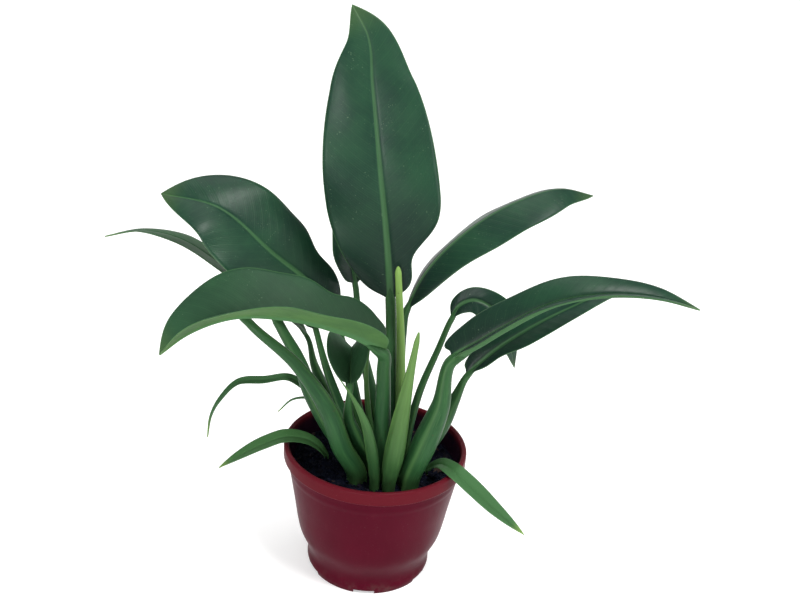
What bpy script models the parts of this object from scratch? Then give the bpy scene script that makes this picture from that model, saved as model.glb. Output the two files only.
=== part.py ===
"""Potted philodendron: a plastic nursery pot, its soil, and each leaf with its stalk.

Metres, +Z up. The pot stands on z = 0 with its axis on Z, and the front of the plant
looks along -Y. Leaf routes are written in millimetres from the pot's axis, with heights
above the soil, so that the whole plant follows the soil when the pot changes.
"""
import math
from collections import namedtuple

import bmesh
import bpy
from mathutils import Matrix, Vector

MM = 0.001

# ---- pot ----------------------------------------------------------------------------
POT_HEIGHT = 0.112
RIM_RADIUS = 0.075
RIM_BAND = 0.0115            # height of the rolled rim
RIM_ROUNDING = 0.0022
LIP_WIDTH = 0.0044
SHOULDER_STEP = 0.0032       # how far the wall stands in under the rim
RIDGE_DROP = 0.008           # the ridge line lies this far under the rim
RIDGE_DEPTH = 0.0006
BELLY_RADIUS = 0.0602        # the wall turns in below this
BELLY_HEIGHT = 0.036
NECK_RADIUS = 0.0514
NECK_HEIGHT = 0.0095
FOOT_RING_RADIUS = 0.0521
FOOT_RING_HEIGHT = 0.005
FOOT_RADIUS = 0.0508
WALL = 0.0022
FLOOR = 0.0024
DRAIN_COUNT = 6
DRAIN_WIDTH = 0.017
DRAIN_RISE = 0.0007          # a drain slot is this much taller than the floor is thick
DRAIN_LENGTH = 0.009

# ---- soil ---------------------------------------------------------------------------
SOIL_DEPTH = 0.020           # from the top of the rim down to the soil
GAP = 0.0003                 # between pieces that touch

# ---- plant --------------------------------------------------------------------------
BLADE_THICKNESS = 0.0009
PLANT_SCALE = 1.0            # stretches every route, width and stalk above the soil
STALK_SCALE = 1.0            # thickens or thins every stalk, and spaces them to suit
FOOT_RISE = 4.0              # a stalk leaves the soil straight up for this many mm
STRAP_FOOT = 0.0022          # width of a strap leaf where it leaves the soil
PINCH_LENGTH = 0.08          # share of a blade over which a pinch fades
BASE_POWERS = (1.8, 0.7)     # how an ordinary blade's outline rounds off at its base
TIP_POWERS = (2.2, 0.9)      # how every blade's outline runs to its tip
WAVES = 3                    # waves along a blade's margin
LOBE_FADE = 6                # how soon a base lobe's reach back dies out along the blade
LOBE_START = 1.4             # a lobe begins this many neck radii beside the midrib
LOBE_SPREAD = 0.45           # and is full this share of the half width further out
ROOTED_RIM = 0.075           # the rim radius that the feet of the stalks are placed for
CROWN_HEIGHT = 60.0          # a stalk follows the rim's size up to this many mm

POT_SEGMENTS = 48
SOIL_SEGMENTS = 32
STALK_SIDES = 2              # bevel resolution of the stalk curves
STALK_STEPS = 12
BLADE_ALONG = 15
BLADE_ACROSS = 6

SOIL_TOP = POT_HEIGHT - SOIL_DEPTH

# stalk: route points from the foot to the neck; blade: points from the neck to the tip
# thick: stalk radius at the foot, where it is swollen, and at the neck, all in mm
# width: of the whole blade, mm; widest: where along the blade, 0 to 1
# face: where the upper side looks, at the base and at the tip
# fold: degrees that the two halves rise from the midrib; roll: how far the edges curl down
# lobe: how far the base reaches back beside the neck, mm
# pinch: how much the left and right halves are drawn in, and where along the blade
# base: how square the blade's base is, left and right, as the two powers of its outline
Leaf = namedtuple("Leaf", "name stalk blade thick swell width widest face fold roll wave "
                  "lobe pinch base", defaults=(6, (0.0, 0.0, 0.2), (BASE_POWERS, BASE_POWERS)))

LEAVES = (
    Leaf("tall",
         stalk=((13, -6, 0), (12, 0, 40), (8, 1, 85), (3, 2, 145)),
         blade=((-5, 0, 206), (-11, -2, 243), (-21, 2, 305), (-27, 8, 338), (-39, 12, 357)),
         thick=(4.8, 4.8, 4.0), swell=0.3, width=86, widest=0.36,
         face=((0, -1, 0.1), (0.1, -1, 0.25)), fold=(10, 10), roll=0.18, wave=0.05,
         lobe=6, pinch=(0.0, 0.40, 0.15)),
    Leaf("back_left",
         stalk=((3, 26, 0), (-7, 28, 50), (-20, 28, 100), (-26, 26, 146)),
         blade=((-32, 27, 175), (-36, 26, 200), (-38, 22, 226)),
         thick=(4.4, 4.8, 2.4), swell=0.25, width=34, widest=0.4,
         face=((0.5, -0.9, 0.3), (0.5, -0.7, 0.6)), fold=(15, 15), roll=0.1, wave=0.03),
    Leaf("front_left",
         stalk=((7, -26, 0), (4.5, -30, 50), (2.5, -35, 100), (1, -40, 119)),
         blade=((-12, -47, 131), (-37, -56, 143), (-71, -66, 152), (-104, -74, 152),
                (-133, -82, 140), (-150, -88, 126)),
         thick=(5.4, 6.5, 5.0), swell=0.35, width=74, widest=0.57,
         face=((-0.4, -0.2, 1), (-0.5, -0.3, 0.9)), fold=(48, 40), roll=0.1, wave=0.04,
         lobe=14, pinch=(0.0, 0.24, 0.3), base=((2.1, 0.65), (3.0, 0.45))),
    Leaf("upper_left",
         stalk=((-8, 14, 0), (-18, 15, 40), (-31, 16, 90), (-42, 16, 120)),
         blade=((-58, 14, 145), (-90, 10, 172), (-133, 8, 206), (-174, 6, 213)),
         thick=(4.2, 5.2, 3.4), swell=0.35, width=76, widest=0.52,
         face=((0.25, -0.8, 0.6), (0.3, -0.6, 0.7)), fold=(12, 10), roll=0.15, wave=0.05,
         lobe=8, pinch=(0.0, 0.22, 0.26)),
    Leaf("far_left",
         stalk=((-24, 14, 0), (-43, 26, 42), (-57, 33, 70), (-64, 38, 92)),
         blade=((-97, 44, 120), (-140, 50, 146), (-174, 54, 163), (-209, 58, 166),
                (-238, 60, 158)),
         thick=(4.2, 5.2, 2.0), swell=0.5, width=40, widest=0.4,
         face=((0, 0.14, 1), (0, 0.14, 1)), fold=(8, 8), roll=0.1, wave=0.02),
    Leaf("upper_right",
         stalk=((16, 16, 0), (16, 25, 60), (15, 29, 105), (16, 30, 126)),
         blade=((25, 35, 151), (60, 50, 191), (100, 62, 216), (135, 72, 226), (162, 78, 221)),
         thick=(3.8, 3.8, 3.0), swell=0.3, width=54, widest=0.58,
         face=((-0.4, -0.25, 0.8), (-0.35, -0.25, 0.9)), fold=(-24, -20), roll=0.12, wave=0.03),
    Leaf("right_back",
         stalk=((25, 8, 0), (32, 20, 55), (45, 23, 98), (53, 24, 124)),
         blade=((58, 24, 136), (68, 23, 142), (85, 20, 137), (99, 17, 114), (107, 14, 90)),
         thick=(3.2, 3.2, 2.3), swell=0.3, width=26, widest=0.5,
         face=((-0.6, -0.8, 0.2), (0.8, -0.6, 0.3)), fold=(15, 10), roll=0.1, wave=0.02),
    Leaf("right_front",
         stalk=((28, -36, 0), (38, -39, 45), (47, -40, 78), (53, -37, 117)),
         blade=((72, -36, 132), (90, -36, 146), (125, -36, 168), (156, -36, 176),
                (196, -36, 177), (226, -36, 171)),
         thick=(8.8, 9.8, 4.6), swell=0.36, width=48, widest=0.24,
         face=((-0.2, -0.18, 1), (0.1, -0.18, 1)), fold=(46, 38), roll=0.25, wave=0.03,
         lobe=12, base=((2.8, 0.5), (1.8, 0.8))),
    Leaf("lower_right",
         stalk=((31, -16, 0), (48, -17, 42), (60, -16, 75), (67, -14, 93)),
         blade=((81, -12, 110), (108, -6, 131), (138, 0, 149), (167, 4, 163), (185, 8, 166)),
         thick=(4.6, 6.6, 2.6), swell=0.55, width=28, widest=0.4,
         face=((-0.3, -0.7, 0.7), (-0.2, -0.6, 0.8)), fold=(20, 15), roll=0.1, wave=0.03,
         lobe=9, pinch=(0.0, 0.22, 0.22), base=((2.4, 0.55), (1.8, 0.9))),
    Leaf("folded_small",
         stalk=((-4, -16, 0), (-14, -22, 32), (-22, -27, 55), (-22, -31, 86)),
         blade=((-23, -24, 93), (-24, -8, 101), (-25, 8, 99)),
         thick=(5.0, 5.6, 2.2), swell=0.4, width=62, widest=0.45,
         face=((-0.1, -0.25, 1), (-0.1, 0.1, 1)), fold=(60, 56), roll=0.1, wave=0.0,
         lobe=2, base=((2.4, 0.55), (2.4, 0.55))),
    Leaf("left_low",
         stalk=((-12, -30, 0), (-26, -35, 36), (-36, -40, 66), (-61, -40, 102), (-101, -38, 137)),
         blade=((-110, -24, 143), (-119, -4, 148), (-127, 16, 149)),
         thick=(8.6, 8.8, 3.4), swell=0.12, width=26, widest=0.4,
         face=((0.9, 0.1, 0.4), (0.9, 0.1, 0.4)), fold=(10, 10), roll=0.1, wave=0.0),
    Leaf("left_mid",
         stalk=((-22, -8, 0), (-40, 0, 31), (-55, 3, 58), (-68, 6, 88), (-84, 8, 116)),
         blade=((-95, 20, 138), (-110, 34, 161), (-123, 46, 184)),
         thick=(5.5, 6.8, 4.0), swell=0.45, width=36, widest=0.4,
         face=((0.5, -0.6, 0.6), (0.5, -0.6, 0.6)), fold=(15, 15), roll=0.1, wave=0.0),
    Leaf("left_back",
         stalk=((-14, 2, 0), (-34, 12, 49), (-45, 16, 75), (-55, 20, 106)),
         blade=((-61, 27, 124), (-71, 42, 153), (-84, 58, 181)),
         thick=(3.6, 4.0, 2.4), swell=0.4, width=34, widest=0.4,
         face=((0.3, -0.7, 0.6), (0.3, -0.7, 0.6)), fold=(15, 15), roll=0.1, wave=0.0),
)

# Narrow juvenile leaves; a route point is (bearing, reach past the rim, rise over the rim)
# where it has left the pot, and the ordinary (x, y, height) before that
# crest: between the two, how far towards the rim, 0 to 1, and how many mm over the chord
Strap = namedtuple("Strap", "name inside outside width face fold widest roll wave lobe pinch "
                   "base crest", defaults=(0.55, 0.0, 0.0, 0, (0.0, 0.0, 0.5),
                                           (BASE_POWERS, BASE_POWERS), None))

STRAPS = (
    Strap("left_strap",
          inside=((-30, 10, 0), (-44, 16, 30), (-60, 14, 56), (-74, 9, 67)),
          outside=((181, 17, 49), (184, 38, 48), (187, 50, 37), (187, 58, 21), (188, 61, 3)),
          width=7.5, face=((0, -0.8, 1), (-0.7, -0.5, 0.5)), fold=(15, 15)),
    Strap("low_left_strap",
          inside=((-40, -4, 0), (-43, -5, 10)), crest=(0.34, 4.7),
          outside=((187, -2, 3), (186, 14, -4), (186, 36, -17), (187, 52, -27)),
          width=14.5, face=((0.2, -0.4, 1), (-0.4, -0.4, 0.9)), fold=(15, 15)),
    Strap("low_right_strap",
          inside=((43, -13, 0), (47, -16, 10)), crest=(0.37, 4.3),
          outside=((327, 1, 3), (328, 14, -4), (330, 35, -18), (333, 60, -35)),
          width=15, face=((-0.2, -0.6, 1), (0.3, -0.5, 0.9)), fold=(15, 15)),
    Strap("sliver",
          inside=((-33, 24, 0), (-46, 25, 28), (-62, 24, 42), (-72, 24, 40), (-85, 24, 27)),
          outside=(),
          width=3.2, face=((0, -0.3, 1), (-0.5, 0, 0.8)), fold=(10, 10)),
)

# Rolled new leaves and sheaths: a route and the radii at the foot, the belly and the tip
Spear = namedtuple("Spear", "name route thick belly")

SPEARS = (
    Spear("yellow_spear", ((20, -13, 0), (18, -8, 50), (14, -5, 110), (7, -5, 175)),
          (3.0, 3.6, 2.4), 0.4),
    Spear("green_spear", ((13, -42, 0), (16, -44, 39), (20, -46, 84), (26, -45, 140)),
          (5.2, 7.6, 1.9), 0.25),
    Spear("sheath", ((2, -41, 0), (-1, -45, 34), (-9, -49, 66), (-18, -50, 84), (-30, -52, 102)),
          (4.0, 4.4, 0.8), 0.3),
    Spear("thin_spear", ((-1, 4, 0), (-9, 7, 50), (-12, 7, 81), (-10, 7, 116)),
          (2.2, 2.2, 1.0), 0.4),
)

# colour and roughness; nothing here is metallic
FINISHES = {
    "pot_plastic": ((0.085, 0.012, 0.022, 1.0), 0.38),
    "soil": ((0.010, 0.009, 0.012, 1.0), 0.95),
    "leaf": ((0.020, 0.062, 0.030, 1.0), 0.36),
    "stalk": ((0.050, 0.130, 0.048, 1.0), 0.45),
    "spear": ((0.180, 0.290, 0.070, 1.0), 0.45),
}


# ---- helpers ------------------------------------------------------------------------
def clear_scene():
    for old in list(bpy.data.objects):
        bpy.data.objects.remove(old, do_unlink=True)


def collection_named(name, parent):
    made = bpy.data.collections.new(name)
    parent.children.link(made)
    return made


def finish_material(name, finish):
    colour, roughness = FINISHES[finish]
    material = bpy.data.materials.new(name + "_" + finish)
    material.use_nodes = True
    shader = material.node_tree.nodes["Principled BSDF"]
    shader.inputs["Base Color"].default_value = colour
    shader.inputs["Roughness"].default_value = roughness
    shader.inputs["Metallic"].default_value = 0.0
    return material


def add_object(name, data, finish, collection):
    piece = bpy.data.objects.new(name, data)
    piece.data.materials.append(finish_material(name, finish))
    collection.objects.link(piece)
    return piece


def smoothstep(t):
    t = min(1.0, max(0.0, t))
    return t * t * (3.0 - 2.0 * t)


class Route:
    """A smooth curve through a few points, sampled by the share of its length."""

    FINE = 24

    def __init__(self, points):
        self.points = [Vector(p) for p in points]
        last = len(self.points) - 1
        knots = [0.0]
        for a, b in zip(self.points, self.points[1:]):
            knots.append(knots[-1] + (b - a).length)
        self.samples = []
        for i in range(last):
            for step in range(self.FINE):
                self.samples.append(self.hermite(knots, i, step / self.FINE))
        self.samples.append(self.points[-1].copy())
        self.lengths = [0.0]
        for a, b in zip(self.samples, self.samples[1:]):
            self.lengths.append(self.lengths[-1] + (b - a).length)

    def slope(self, knots, i):
        last = len(self.points) - 1
        if i == 0:
            return (self.points[1] - self.points[0]) / (knots[1] - knots[0])
        if i == last:
            return (self.points[last] - self.points[last - 1]) / (knots[last] - knots[last - 1])
        before = (self.points[i] - self.points[i - 1]) / (knots[i] - knots[i - 1])
        after = (self.points[i + 1] - self.points[i]) / (knots[i + 1] - knots[i])
        share = (knots[i] - knots[i - 1]) / (knots[i + 1] - knots[i - 1])
        return before.lerp(after, share)

    def hermite(self, knots, i, u):
        span = knots[i + 1] - knots[i]
        m0 = self.slope(knots, i) * span
        m1 = self.slope(knots, i + 1) * span
        p0 = self.points[i]
        p1 = self.points[i + 1]
        return (p0 * (2 * u ** 3 - 3 * u ** 2 + 1) + m0 * (u ** 3 - 2 * u ** 2 + u)
                + p1 * (3 * u ** 2 - 2 * u ** 3) + m1 * (u ** 3 - u ** 2))

    def length(self):
        return self.lengths[-1]

    def length_to(self, index):
        """Length of the route up to its own point number index."""
        return self.lengths[index * self.FINE]

    def at(self, distance):
        distance = min(max(distance, 0.0), self.lengths[-1])
        for i in range(1, len(self.lengths)):
            if self.lengths[i] >= distance:
                break
        span = self.lengths[i] - self.lengths[i - 1]
        return self.samples[i - 1].lerp(self.samples[i], (distance - self.lengths[i - 1]) / span)

    def heading(self, distance):
        near = self.length() * 0.01
        return (self.at(distance + near) - self.at(distance - near)).normalized()


def crown_share(height):
    """How far the crown is drawn in or let out by the pot's mouth, at mm above the soil."""
    mouth = RIM_RADIUS / ROOTED_RIM
    return mouth + (1.0 - mouth) * smoothstep(height / CROWN_HEIGHT)


def plant_point(point):
    """A route point in mm and above the soil, as a place in metres."""
    x, y, height = point
    spread = MM * PLANT_SCALE * STALK_SCALE * crown_share(height)
    return Vector((x * spread, y * spread, SOIL_TOP + GAP + height * MM * PLANT_SCALE))


def rooted_route(points):
    """A route that stands in the soil: its first stretch goes straight up."""
    foot = points[0]
    rise = (foot[0], foot[1], foot[2] + FOOT_RISE)
    return [plant_point(foot), plant_point(rise)] + [plant_point(p) for p in points[1:]]


def rim_point(bearing, reach, rise):
    """A place beyond the rim, which follows the pot's size."""
    angle = math.radians(bearing)
    radius = RIM_RADIUS + reach * MM
    return Vector((radius * math.cos(angle), radius * math.sin(angle), POT_HEIGHT + rise * MM))


# ---- pot and soil -------------------------------------------------------------------
def wall_outline():
    """Radius and height of the pot's outer wall, foot to rim, on a smooth line."""
    shoulder = RIM_RADIUS - SHOULDER_STEP
    top = POT_HEIGHT - RIM_BAND
    ridge = top - RIDGE_DROP
    slant = (shoulder - BELLY_RADIUS) / (top - BELLY_HEIGHT)
    middle = (ridge + BELLY_HEIGHT) / 2
    keys = (
        (FOOT_RADIUS, 0, 0),
        (FOOT_RING_RADIUS, 0, FOOT_RING_HEIGHT),
        (NECK_RADIUS, 0, NECK_HEIGHT),
        (BELLY_RADIUS, 0, BELLY_HEIGHT),
        (shoulder - slant * (top - middle), 0, middle),
        (shoulder - slant * (top - ridge), 0, ridge),
        (shoulder, 0, top),
    )
    route = Route(keys)
    steps = 20
    return [route.at(route.length() * i / steps) for i in range(steps + 1)]


def wall_radius(height):
    outline = wall_outline()
    for low, high in zip(outline, outline[1:]):
        if low.z <= height <= high.z:
            return low.lerp(high, (height - low.z) / (high.z - low.z)).x
    return outline[-1].x


def inner_outline(low_height, high_height, inset):
    """The wall's inside between two heights, moved in by inset."""
    heights = [p.z for p in wall_outline() if low_height + GAP < p.z < high_height - GAP]
    heights = [low_height] + heights + [high_height]
    return [(wall_radius(z) - inset, z) for z in heights]


def arc(centre, radius, start, stop, steps):
    points = []
    for i in range(steps + 1):
        angle = math.radians(start + (stop - start) * i / steps)
        points.append((centre[0] + radius * math.cos(angle), centre[1] + radius * math.sin(angle)))
    return points


def rim_outline():
    """The rolled rim, from the inside over the top and down to the wall's shoulder."""
    outer = RIM_RADIUS - RIM_ROUNDING
    inner = RIM_RADIUS - LIP_WIDTH + RIM_ROUNDING
    top = POT_HEIGHT - RIM_ROUNDING
    low = POT_HEIGHT - RIM_BAND + RIM_ROUNDING
    return (arc((inner, top), RIM_ROUNDING, 180, 90, 4)
            + arc((outer, top), RIM_ROUNDING, 90, 0, 4)
            + arc((outer, low), RIM_ROUNDING, 0, -80, 4))


def turned(name, profile, segments, finish, collection):
    mesh = bpy.data.meshes.new(name)
    build = bmesh.new()
    verts = [build.verts.new((radius, 0.0, height)) for radius, height in profile]
    for a, b in zip(verts, verts[1:]):
        build.edges.new((a, b))
    build.to_mesh(mesh)
    build.free()
    piece = add_object(name, mesh, finish, collection)
    screw = piece.modifiers.new("turn", "SCREW")
    screw.axis = "Z"
    screw.steps = segments
    screw.render_steps = segments
    screw.use_merge_vertices = True
    screw.merge_threshold = 0.00005
    return piece


def make_drain_cutter(cutters):
    """One cutter for all the drain slots, which open at the foot's edge."""
    build = bmesh.new()
    length = DRAIN_LENGTH + FOOT_RING_RADIUS
    size = Vector((length, DRAIN_WIDTH, 2 * (FLOOR + DRAIN_RISE)))
    reach = FOOT_RADIUS - DRAIN_LENGTH + length / 2
    for i in range(DRAIN_COUNT):
        turn = Matrix.Rotation(2 * math.pi * i / DRAIN_COUNT - math.pi / 2, 4, "Z")
        place = turn @ Matrix.Translation((reach, 0.0, 0.0)) @ Matrix.Diagonal((*size, 1.0))
        bmesh.ops.create_cube(build, size=1.0, matrix=place)
    mesh = bpy.data.meshes.new("drain_cutter")
    build.to_mesh(mesh)
    build.free()
    cutter = bpy.data.objects.new("drain_cutter", mesh)
    cutters.objects.link(cutter)
    cutter.hide_render = True
    cutter.display_type = "WIRE"
    return cutter


def make_pot(collection, cutters):
    shoulder_height = POT_HEIGHT - RIM_BAND
    inside = inner_outline(FLOOR, shoulder_height, WALL)
    ridge = shoulder_height - RIDGE_DROP
    outside = []
    for point in reversed(wall_outline()):
        bump = RIDGE_DEPTH if abs(point.z - ridge) < RIDGE_DROP / 3 else 0.0
        outside.append((point.x + bump, point.z))
    profile = [(0.0, FLOOR)] + inside + rim_outline() + outside + [(0.0, 0.0)]
    pot = turned("pot", profile, POT_SEGMENTS, "pot_plastic", collection)
    boolean = pot.modifiers.new("drains", "BOOLEAN")
    boolean.operation = "DIFFERENCE"
    boolean.solver = "EXACT"
    boolean.object = make_drain_cutter(cutters)
    return pot


def make_soil(collection):
    side = inner_outline(FLOOR + GAP, SOIL_TOP, WALL + GAP)
    profile = [(0.0, SOIL_TOP)] + list(reversed(side)) + [(0.0, FLOOR + GAP)]
    return turned("soil", profile, SOIL_SEGMENTS, "soil", collection)


# ---- stalks, spears and blades ------------------------------------------------------
def swollen_radius(thick, swell, t):
    """Radius along a stalk: foot to belly to neck, on smooth steps."""
    foot, belly, neck = thick
    if t < swell:
        return foot + (belly - foot) * smoothstep(t / swell)
    return belly + (neck - belly) * smoothstep((t - swell) / (1.0 - swell))


def tube(name, route, stop, thick, swell, finish, collection):
    curve = bpy.data.curves.new(name, "CURVE")
    curve.dimensions = "3D"
    curve.bevel_depth = MM * STALK_SCALE * PLANT_SCALE
    curve.bevel_resolution = STALK_SIDES
    curve.use_fill_caps = True
    spline = curve.splines.new("POLY")
    spline.points.add(STALK_STEPS)
    upright = FOOT_RISE * MM * PLANT_SCALE / 2 / stop
    for i, point in enumerate(spline.points):
        t = upright + (1.0 - upright) * (i - 1) / (STALK_STEPS - 1) if i else 0.0
        place = route.at(stop * t)
        point.co = (place.x, place.y, place.z, 1.0)
        height = (place.z - SOIL_TOP) / (MM * PLANT_SCALE)
        point.radius = swollen_radius(thick, swell, t) * crown_share(height)
    return add_object(name, curve, finish, collection)


def blade_profile(t, widest, base):
    """Share of the full width at t along a lance-shaped blade with a rounded base."""
    if t < widest:
        u = (widest - t) / widest
        return (1.0 - u ** base[0]) ** base[1]
    u = (t - widest) / (1.0 - widest)
    return (1.0 - u ** TIP_POWERS[0]) ** TIP_POWERS[1]


class BladeShape:
    """Places a point of a blade from its share along and across."""

    def __init__(self, route, start, half_width, neck, leaf):
        self.route = route
        self.start = start
        self.half_width = half_width
        self.neck = neck
        self.narrow = neck / 2
        self.leaf = leaf
        self.face = [Vector(f).normalized() for f in leaf.face]

    def half_at(self, along, across):
        left, right, centre = self.leaf.pinch
        amount = right if across > 0 else left
        drawn_in = 1.0 - amount * math.exp(-((along - centre) / PINCH_LENGTH) ** 2)
        wide = self.half_width * blade_profile(along, self.leaf.widest, self.leaf.base[across > 0])
        return max(wide * drawn_in, self.narrow)

    def place(self, along, across):
        leaf = self.leaf
        distance = self.start + (self.route.length() - self.start) * along
        heading = self.route.heading(distance)
        face = self.face[0].lerp(self.face[1], smoothstep(along)).normalized()
        side = heading.cross(face).normalized()
        normal = side.cross(heading).normalized()
        half = self.half_at(along, across)
        reach = abs(across)
        fold = math.radians(leaf.fold[0] + (leaf.fold[1] - leaf.fold[0]) * along)
        lift = math.sin(fold) * reach - leaf.roll * reach ** 2
        lift += leaf.wave * reach ** 2 * math.sin(WAVES * math.tau * along + 2.0 * across)
        beside = half * reach - LOBE_START * self.neck
        reach_back = leaf.lobe * smoothstep(beside / (LOBE_SPREAD * self.half_width))
        back = reach_back * MM * PLANT_SCALE * (1.0 - along) ** LOBE_FADE
        return (self.route.at(distance) - heading * back + side * (half * math.cos(fold) * across)
                + normal * (half * lift))


def blade(name, shape, finish, collection):
    build = bmesh.new()
    bmesh.ops.create_grid(build, x_segments=BLADE_ACROSS, y_segments=BLADE_ALONG, size=1.0)
    for vert in build.verts:
        vert.co = shape.place((vert.co.y + 1.0) / 2.0, vert.co.x)
    mesh = bpy.data.meshes.new(name)
    build.to_mesh(mesh)
    build.free()
    piece = add_object(name, mesh, finish, collection)
    solid = piece.modifiers.new("thickness", "SOLIDIFY")
    solid.thickness = BLADE_THICKNESS
    solid.offset = 0.0
    return piece


def make_leaf(leaf, collection):
    stalk = rooted_route(leaf.stalk)
    route = Route(stalk + [plant_point(p) for p in leaf.blade])
    neck = route.length_to(len(stalk) - 1)
    tube("stalk_" + leaf.name, route, neck - GAP - BLADE_THICKNESS / 2, leaf.thick, leaf.swell,
         "stalk", collection)
    shape = BladeShape(route, neck + BLADE_THICKNESS / 2, leaf.width * MM * PLANT_SCALE / 2,
                       leaf.thick[2] * MM * STALK_SCALE * PLANT_SCALE, leaf)
    blade("blade_" + leaf.name, shape, "leaf", collection)


def make_strap(strap, collection):
    inside = rooted_route(strap.inside)
    outside = [rim_point(*p) for p in strap.outside]
    if strap.crest:
        share, lift = strap.crest
        inside.append(inside[-1].lerp(outside[0], share) + Vector((0.0, 0.0, lift * MM)))
    half_width = strap.width * MM * PLANT_SCALE * RIM_RADIUS / ROOTED_RIM / 2
    shape = BladeShape(Route(inside + outside), 0.0, half_width, STRAP_FOOT, strap)
    blade(strap.name, shape, "leaf", collection)


def make_spear(spear, collection):
    route = Route(rooted_route(spear.route))
    tube(spear.name, route, route.length(), spear.thick, spear.belly, "spear", collection)


def main():
    clear_scene()
    root = bpy.context.scene.collection
    plant = collection_named("potted_philodendron", root)
    cutters = collection_named("cutters", root)
    make_pot(plant, cutters)
    make_soil(plant)
    for leaf in LEAVES:
        make_leaf(leaf, plant)
    for strap in STRAPS:
        make_strap(strap, plant)
    for spear in SPEARS:
        make_spear(spear, plant)


main()
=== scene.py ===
import math
from collections import namedtuple

import bpy
import numpy as np
from bpy.props import FloatProperty, FloatVectorProperty, IntProperty, PointerProperty
from mathutils import Matrix, Vector


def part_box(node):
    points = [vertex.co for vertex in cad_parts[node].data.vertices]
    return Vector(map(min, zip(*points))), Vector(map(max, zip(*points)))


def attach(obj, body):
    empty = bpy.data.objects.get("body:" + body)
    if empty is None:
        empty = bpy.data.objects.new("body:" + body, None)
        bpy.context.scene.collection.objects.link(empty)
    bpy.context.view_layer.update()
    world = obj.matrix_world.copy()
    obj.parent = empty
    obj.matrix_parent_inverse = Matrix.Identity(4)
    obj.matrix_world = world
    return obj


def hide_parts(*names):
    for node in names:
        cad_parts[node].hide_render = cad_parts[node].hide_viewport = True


bl_info = {
    "name": "Potted philodendron",
    "version": (1, 0, 0),
    "blender": (4, 5, 0),
    "location": "View3D > Sidebar > Plant",
    "description": "Builds a potted philodendron around its packed frame",
    "category": "Add Mesh",
}

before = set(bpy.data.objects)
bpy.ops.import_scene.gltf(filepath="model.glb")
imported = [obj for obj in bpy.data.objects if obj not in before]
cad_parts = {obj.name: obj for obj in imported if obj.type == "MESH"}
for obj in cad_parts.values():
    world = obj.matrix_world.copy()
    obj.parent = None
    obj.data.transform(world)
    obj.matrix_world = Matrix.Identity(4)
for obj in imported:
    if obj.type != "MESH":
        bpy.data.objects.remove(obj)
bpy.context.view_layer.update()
POT_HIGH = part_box("pot")[1]
SOIL_LOW, SOIL_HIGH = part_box("soil")

MM = 0.001
ROOT = "root"
GAP = 0.0003                  # between the soil and what touches it
SOIL_TOP = SOIL_HIGH[2]
RIM_RADIUS = POT_HIGH[0]
POT_HEIGHT = POT_HIGH[2]

# The pot's wall and foot, in metres; a profile's points are (radius, height)
SHOULDER_STEP = 0.0032        # how far the wall stands in under the rim
RIDGE_DROP = 0.008            # the ridge line lies this far under the rim
RIDGE_DEPTH = 0.0007
RIDGE_WIDTH = 0.0012
BELLY_RADIUS = 0.0602         # the wall turns in below this
BELLY_HEIGHT = 0.036
FOOT_PROFILE = ((0.0508, 0.0), (0.0521, 0.005), (0.0514, 0.0095), (BELLY_RADIUS, BELLY_HEIGHT))
UNDER_PROFILE = ((0.0490, 0.0), (0.0478, 0.0004), (0.0474, 0.0010), (0.0, 0.0010))
FLOOR_RADIUS = 0.0470
FLOOR_CORNER = 0.001          # the inner wall starts this far above the floor
RIM_ROUNDING = 0.0022
CURL_RADIUS = 0.0014          # of the rim's lower edge
CURL_RISE = 0.0016
DRAIN_COUNT = 6
DRAIN_REACH = (0.0418, 0.0560)
DRAIN_WIDTH = 0.017
DRAIN_RISE = 0.0007           # a drain slot is this much taller than the floor is thick
SOIL_SHOULDER = 0.004         # the soil meets the wall this far under its level
HEAP_RISE = 0.0022            # the soil is heaped this much around the stalks
HEAP_PLACE = -0.010
HEAP_WIDTH = 0.045
CALM = 0.6                    # the soil's surface loses this share of its relief at the wall
CALM_START = 0.9              # beyond this share of its radius
BED_CLEAR = 0.0012            # between the bed of crumbs and the wall
CRUMB_NOISE = 0.9             # scale of the noise that makes a crumb lumpy
CRUMB_PUSH = 2.1              # and how far it pushes
CRUMB_LEAST = 0.35            # size of the least crumb beside a typical one
CRUMB_RANGE = 1.5             # and how much larger the largest is
CRUMB_POWER = 3.0             # most crumbs are small
CRUMB_SLIM = (0.55, 0.55, 0.40)
CRUMB_FULL = (1.1, 1.1, 0.75)
TURN_SEED, SIZE_SEED, SHAPE_SEED, TINT_SEED = 3, 5, 11, 17
BOX_FACES = ((0, 1, 3, 2), (4, 6, 7, 5), (0, 4, 5, 1), (2, 3, 7, 6), (0, 2, 6, 4), (1, 5, 7, 3))
SHARP_ANGLE = math.radians(38)

# The forms of blades and stalks
FOOT_RISE = 4.0               # a stalk leaves the soil straight up for this many mm
STALK_SUNK = 0.007            # and starts this far under it, as a rolled leaf does
STRAP_SUNK = 0.004            # a strap leaf starts this far under it
STRAP_NECK = 0.00121          # radius of a strap leaf's neck
STALK_END = 0.020             # a stalk runs on under its blade this far at most
STALK_END_SHARE = 0.25        # and for this share of the blade's length at most
STALK_END_TAPER = 0.75
SINK_START = 0.006            # it bends under the blade from this far below the neck
SINK = 0.62                   # by this share of the neck's radius
TIP_RADIUS = 0.0001
SPEAR_TIP = 0.00012
SEAM_LOOK = (0.3, -1.0, 0.2)  # the way a rolled leaf's seam looks at its foot
BLADE_START = 0.00045         # between a stalk's end and the start of its blade
PINCH_LENGTH = 0.08           # share of a blade over which a pinch fades
BASE_POWERS = (1.8, 0.7)      # how an ordinary blade's outline rounds off at its base
TIP_POWERS = (2.2, 0.9)       # how every blade's outline runs to its tip
WAVES = 3                     # waves along a blade's margin
LOBE_FADE = 6                 # how soon a base lobe's reach back dies out along the blade
LOBE_START = 1.4              # a lobe begins this many neck radii beside the midrib
LOBE_SPREAD = 0.45            # and is full this share of the half width further out
VEIN_SPACING = 0.0082
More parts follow.
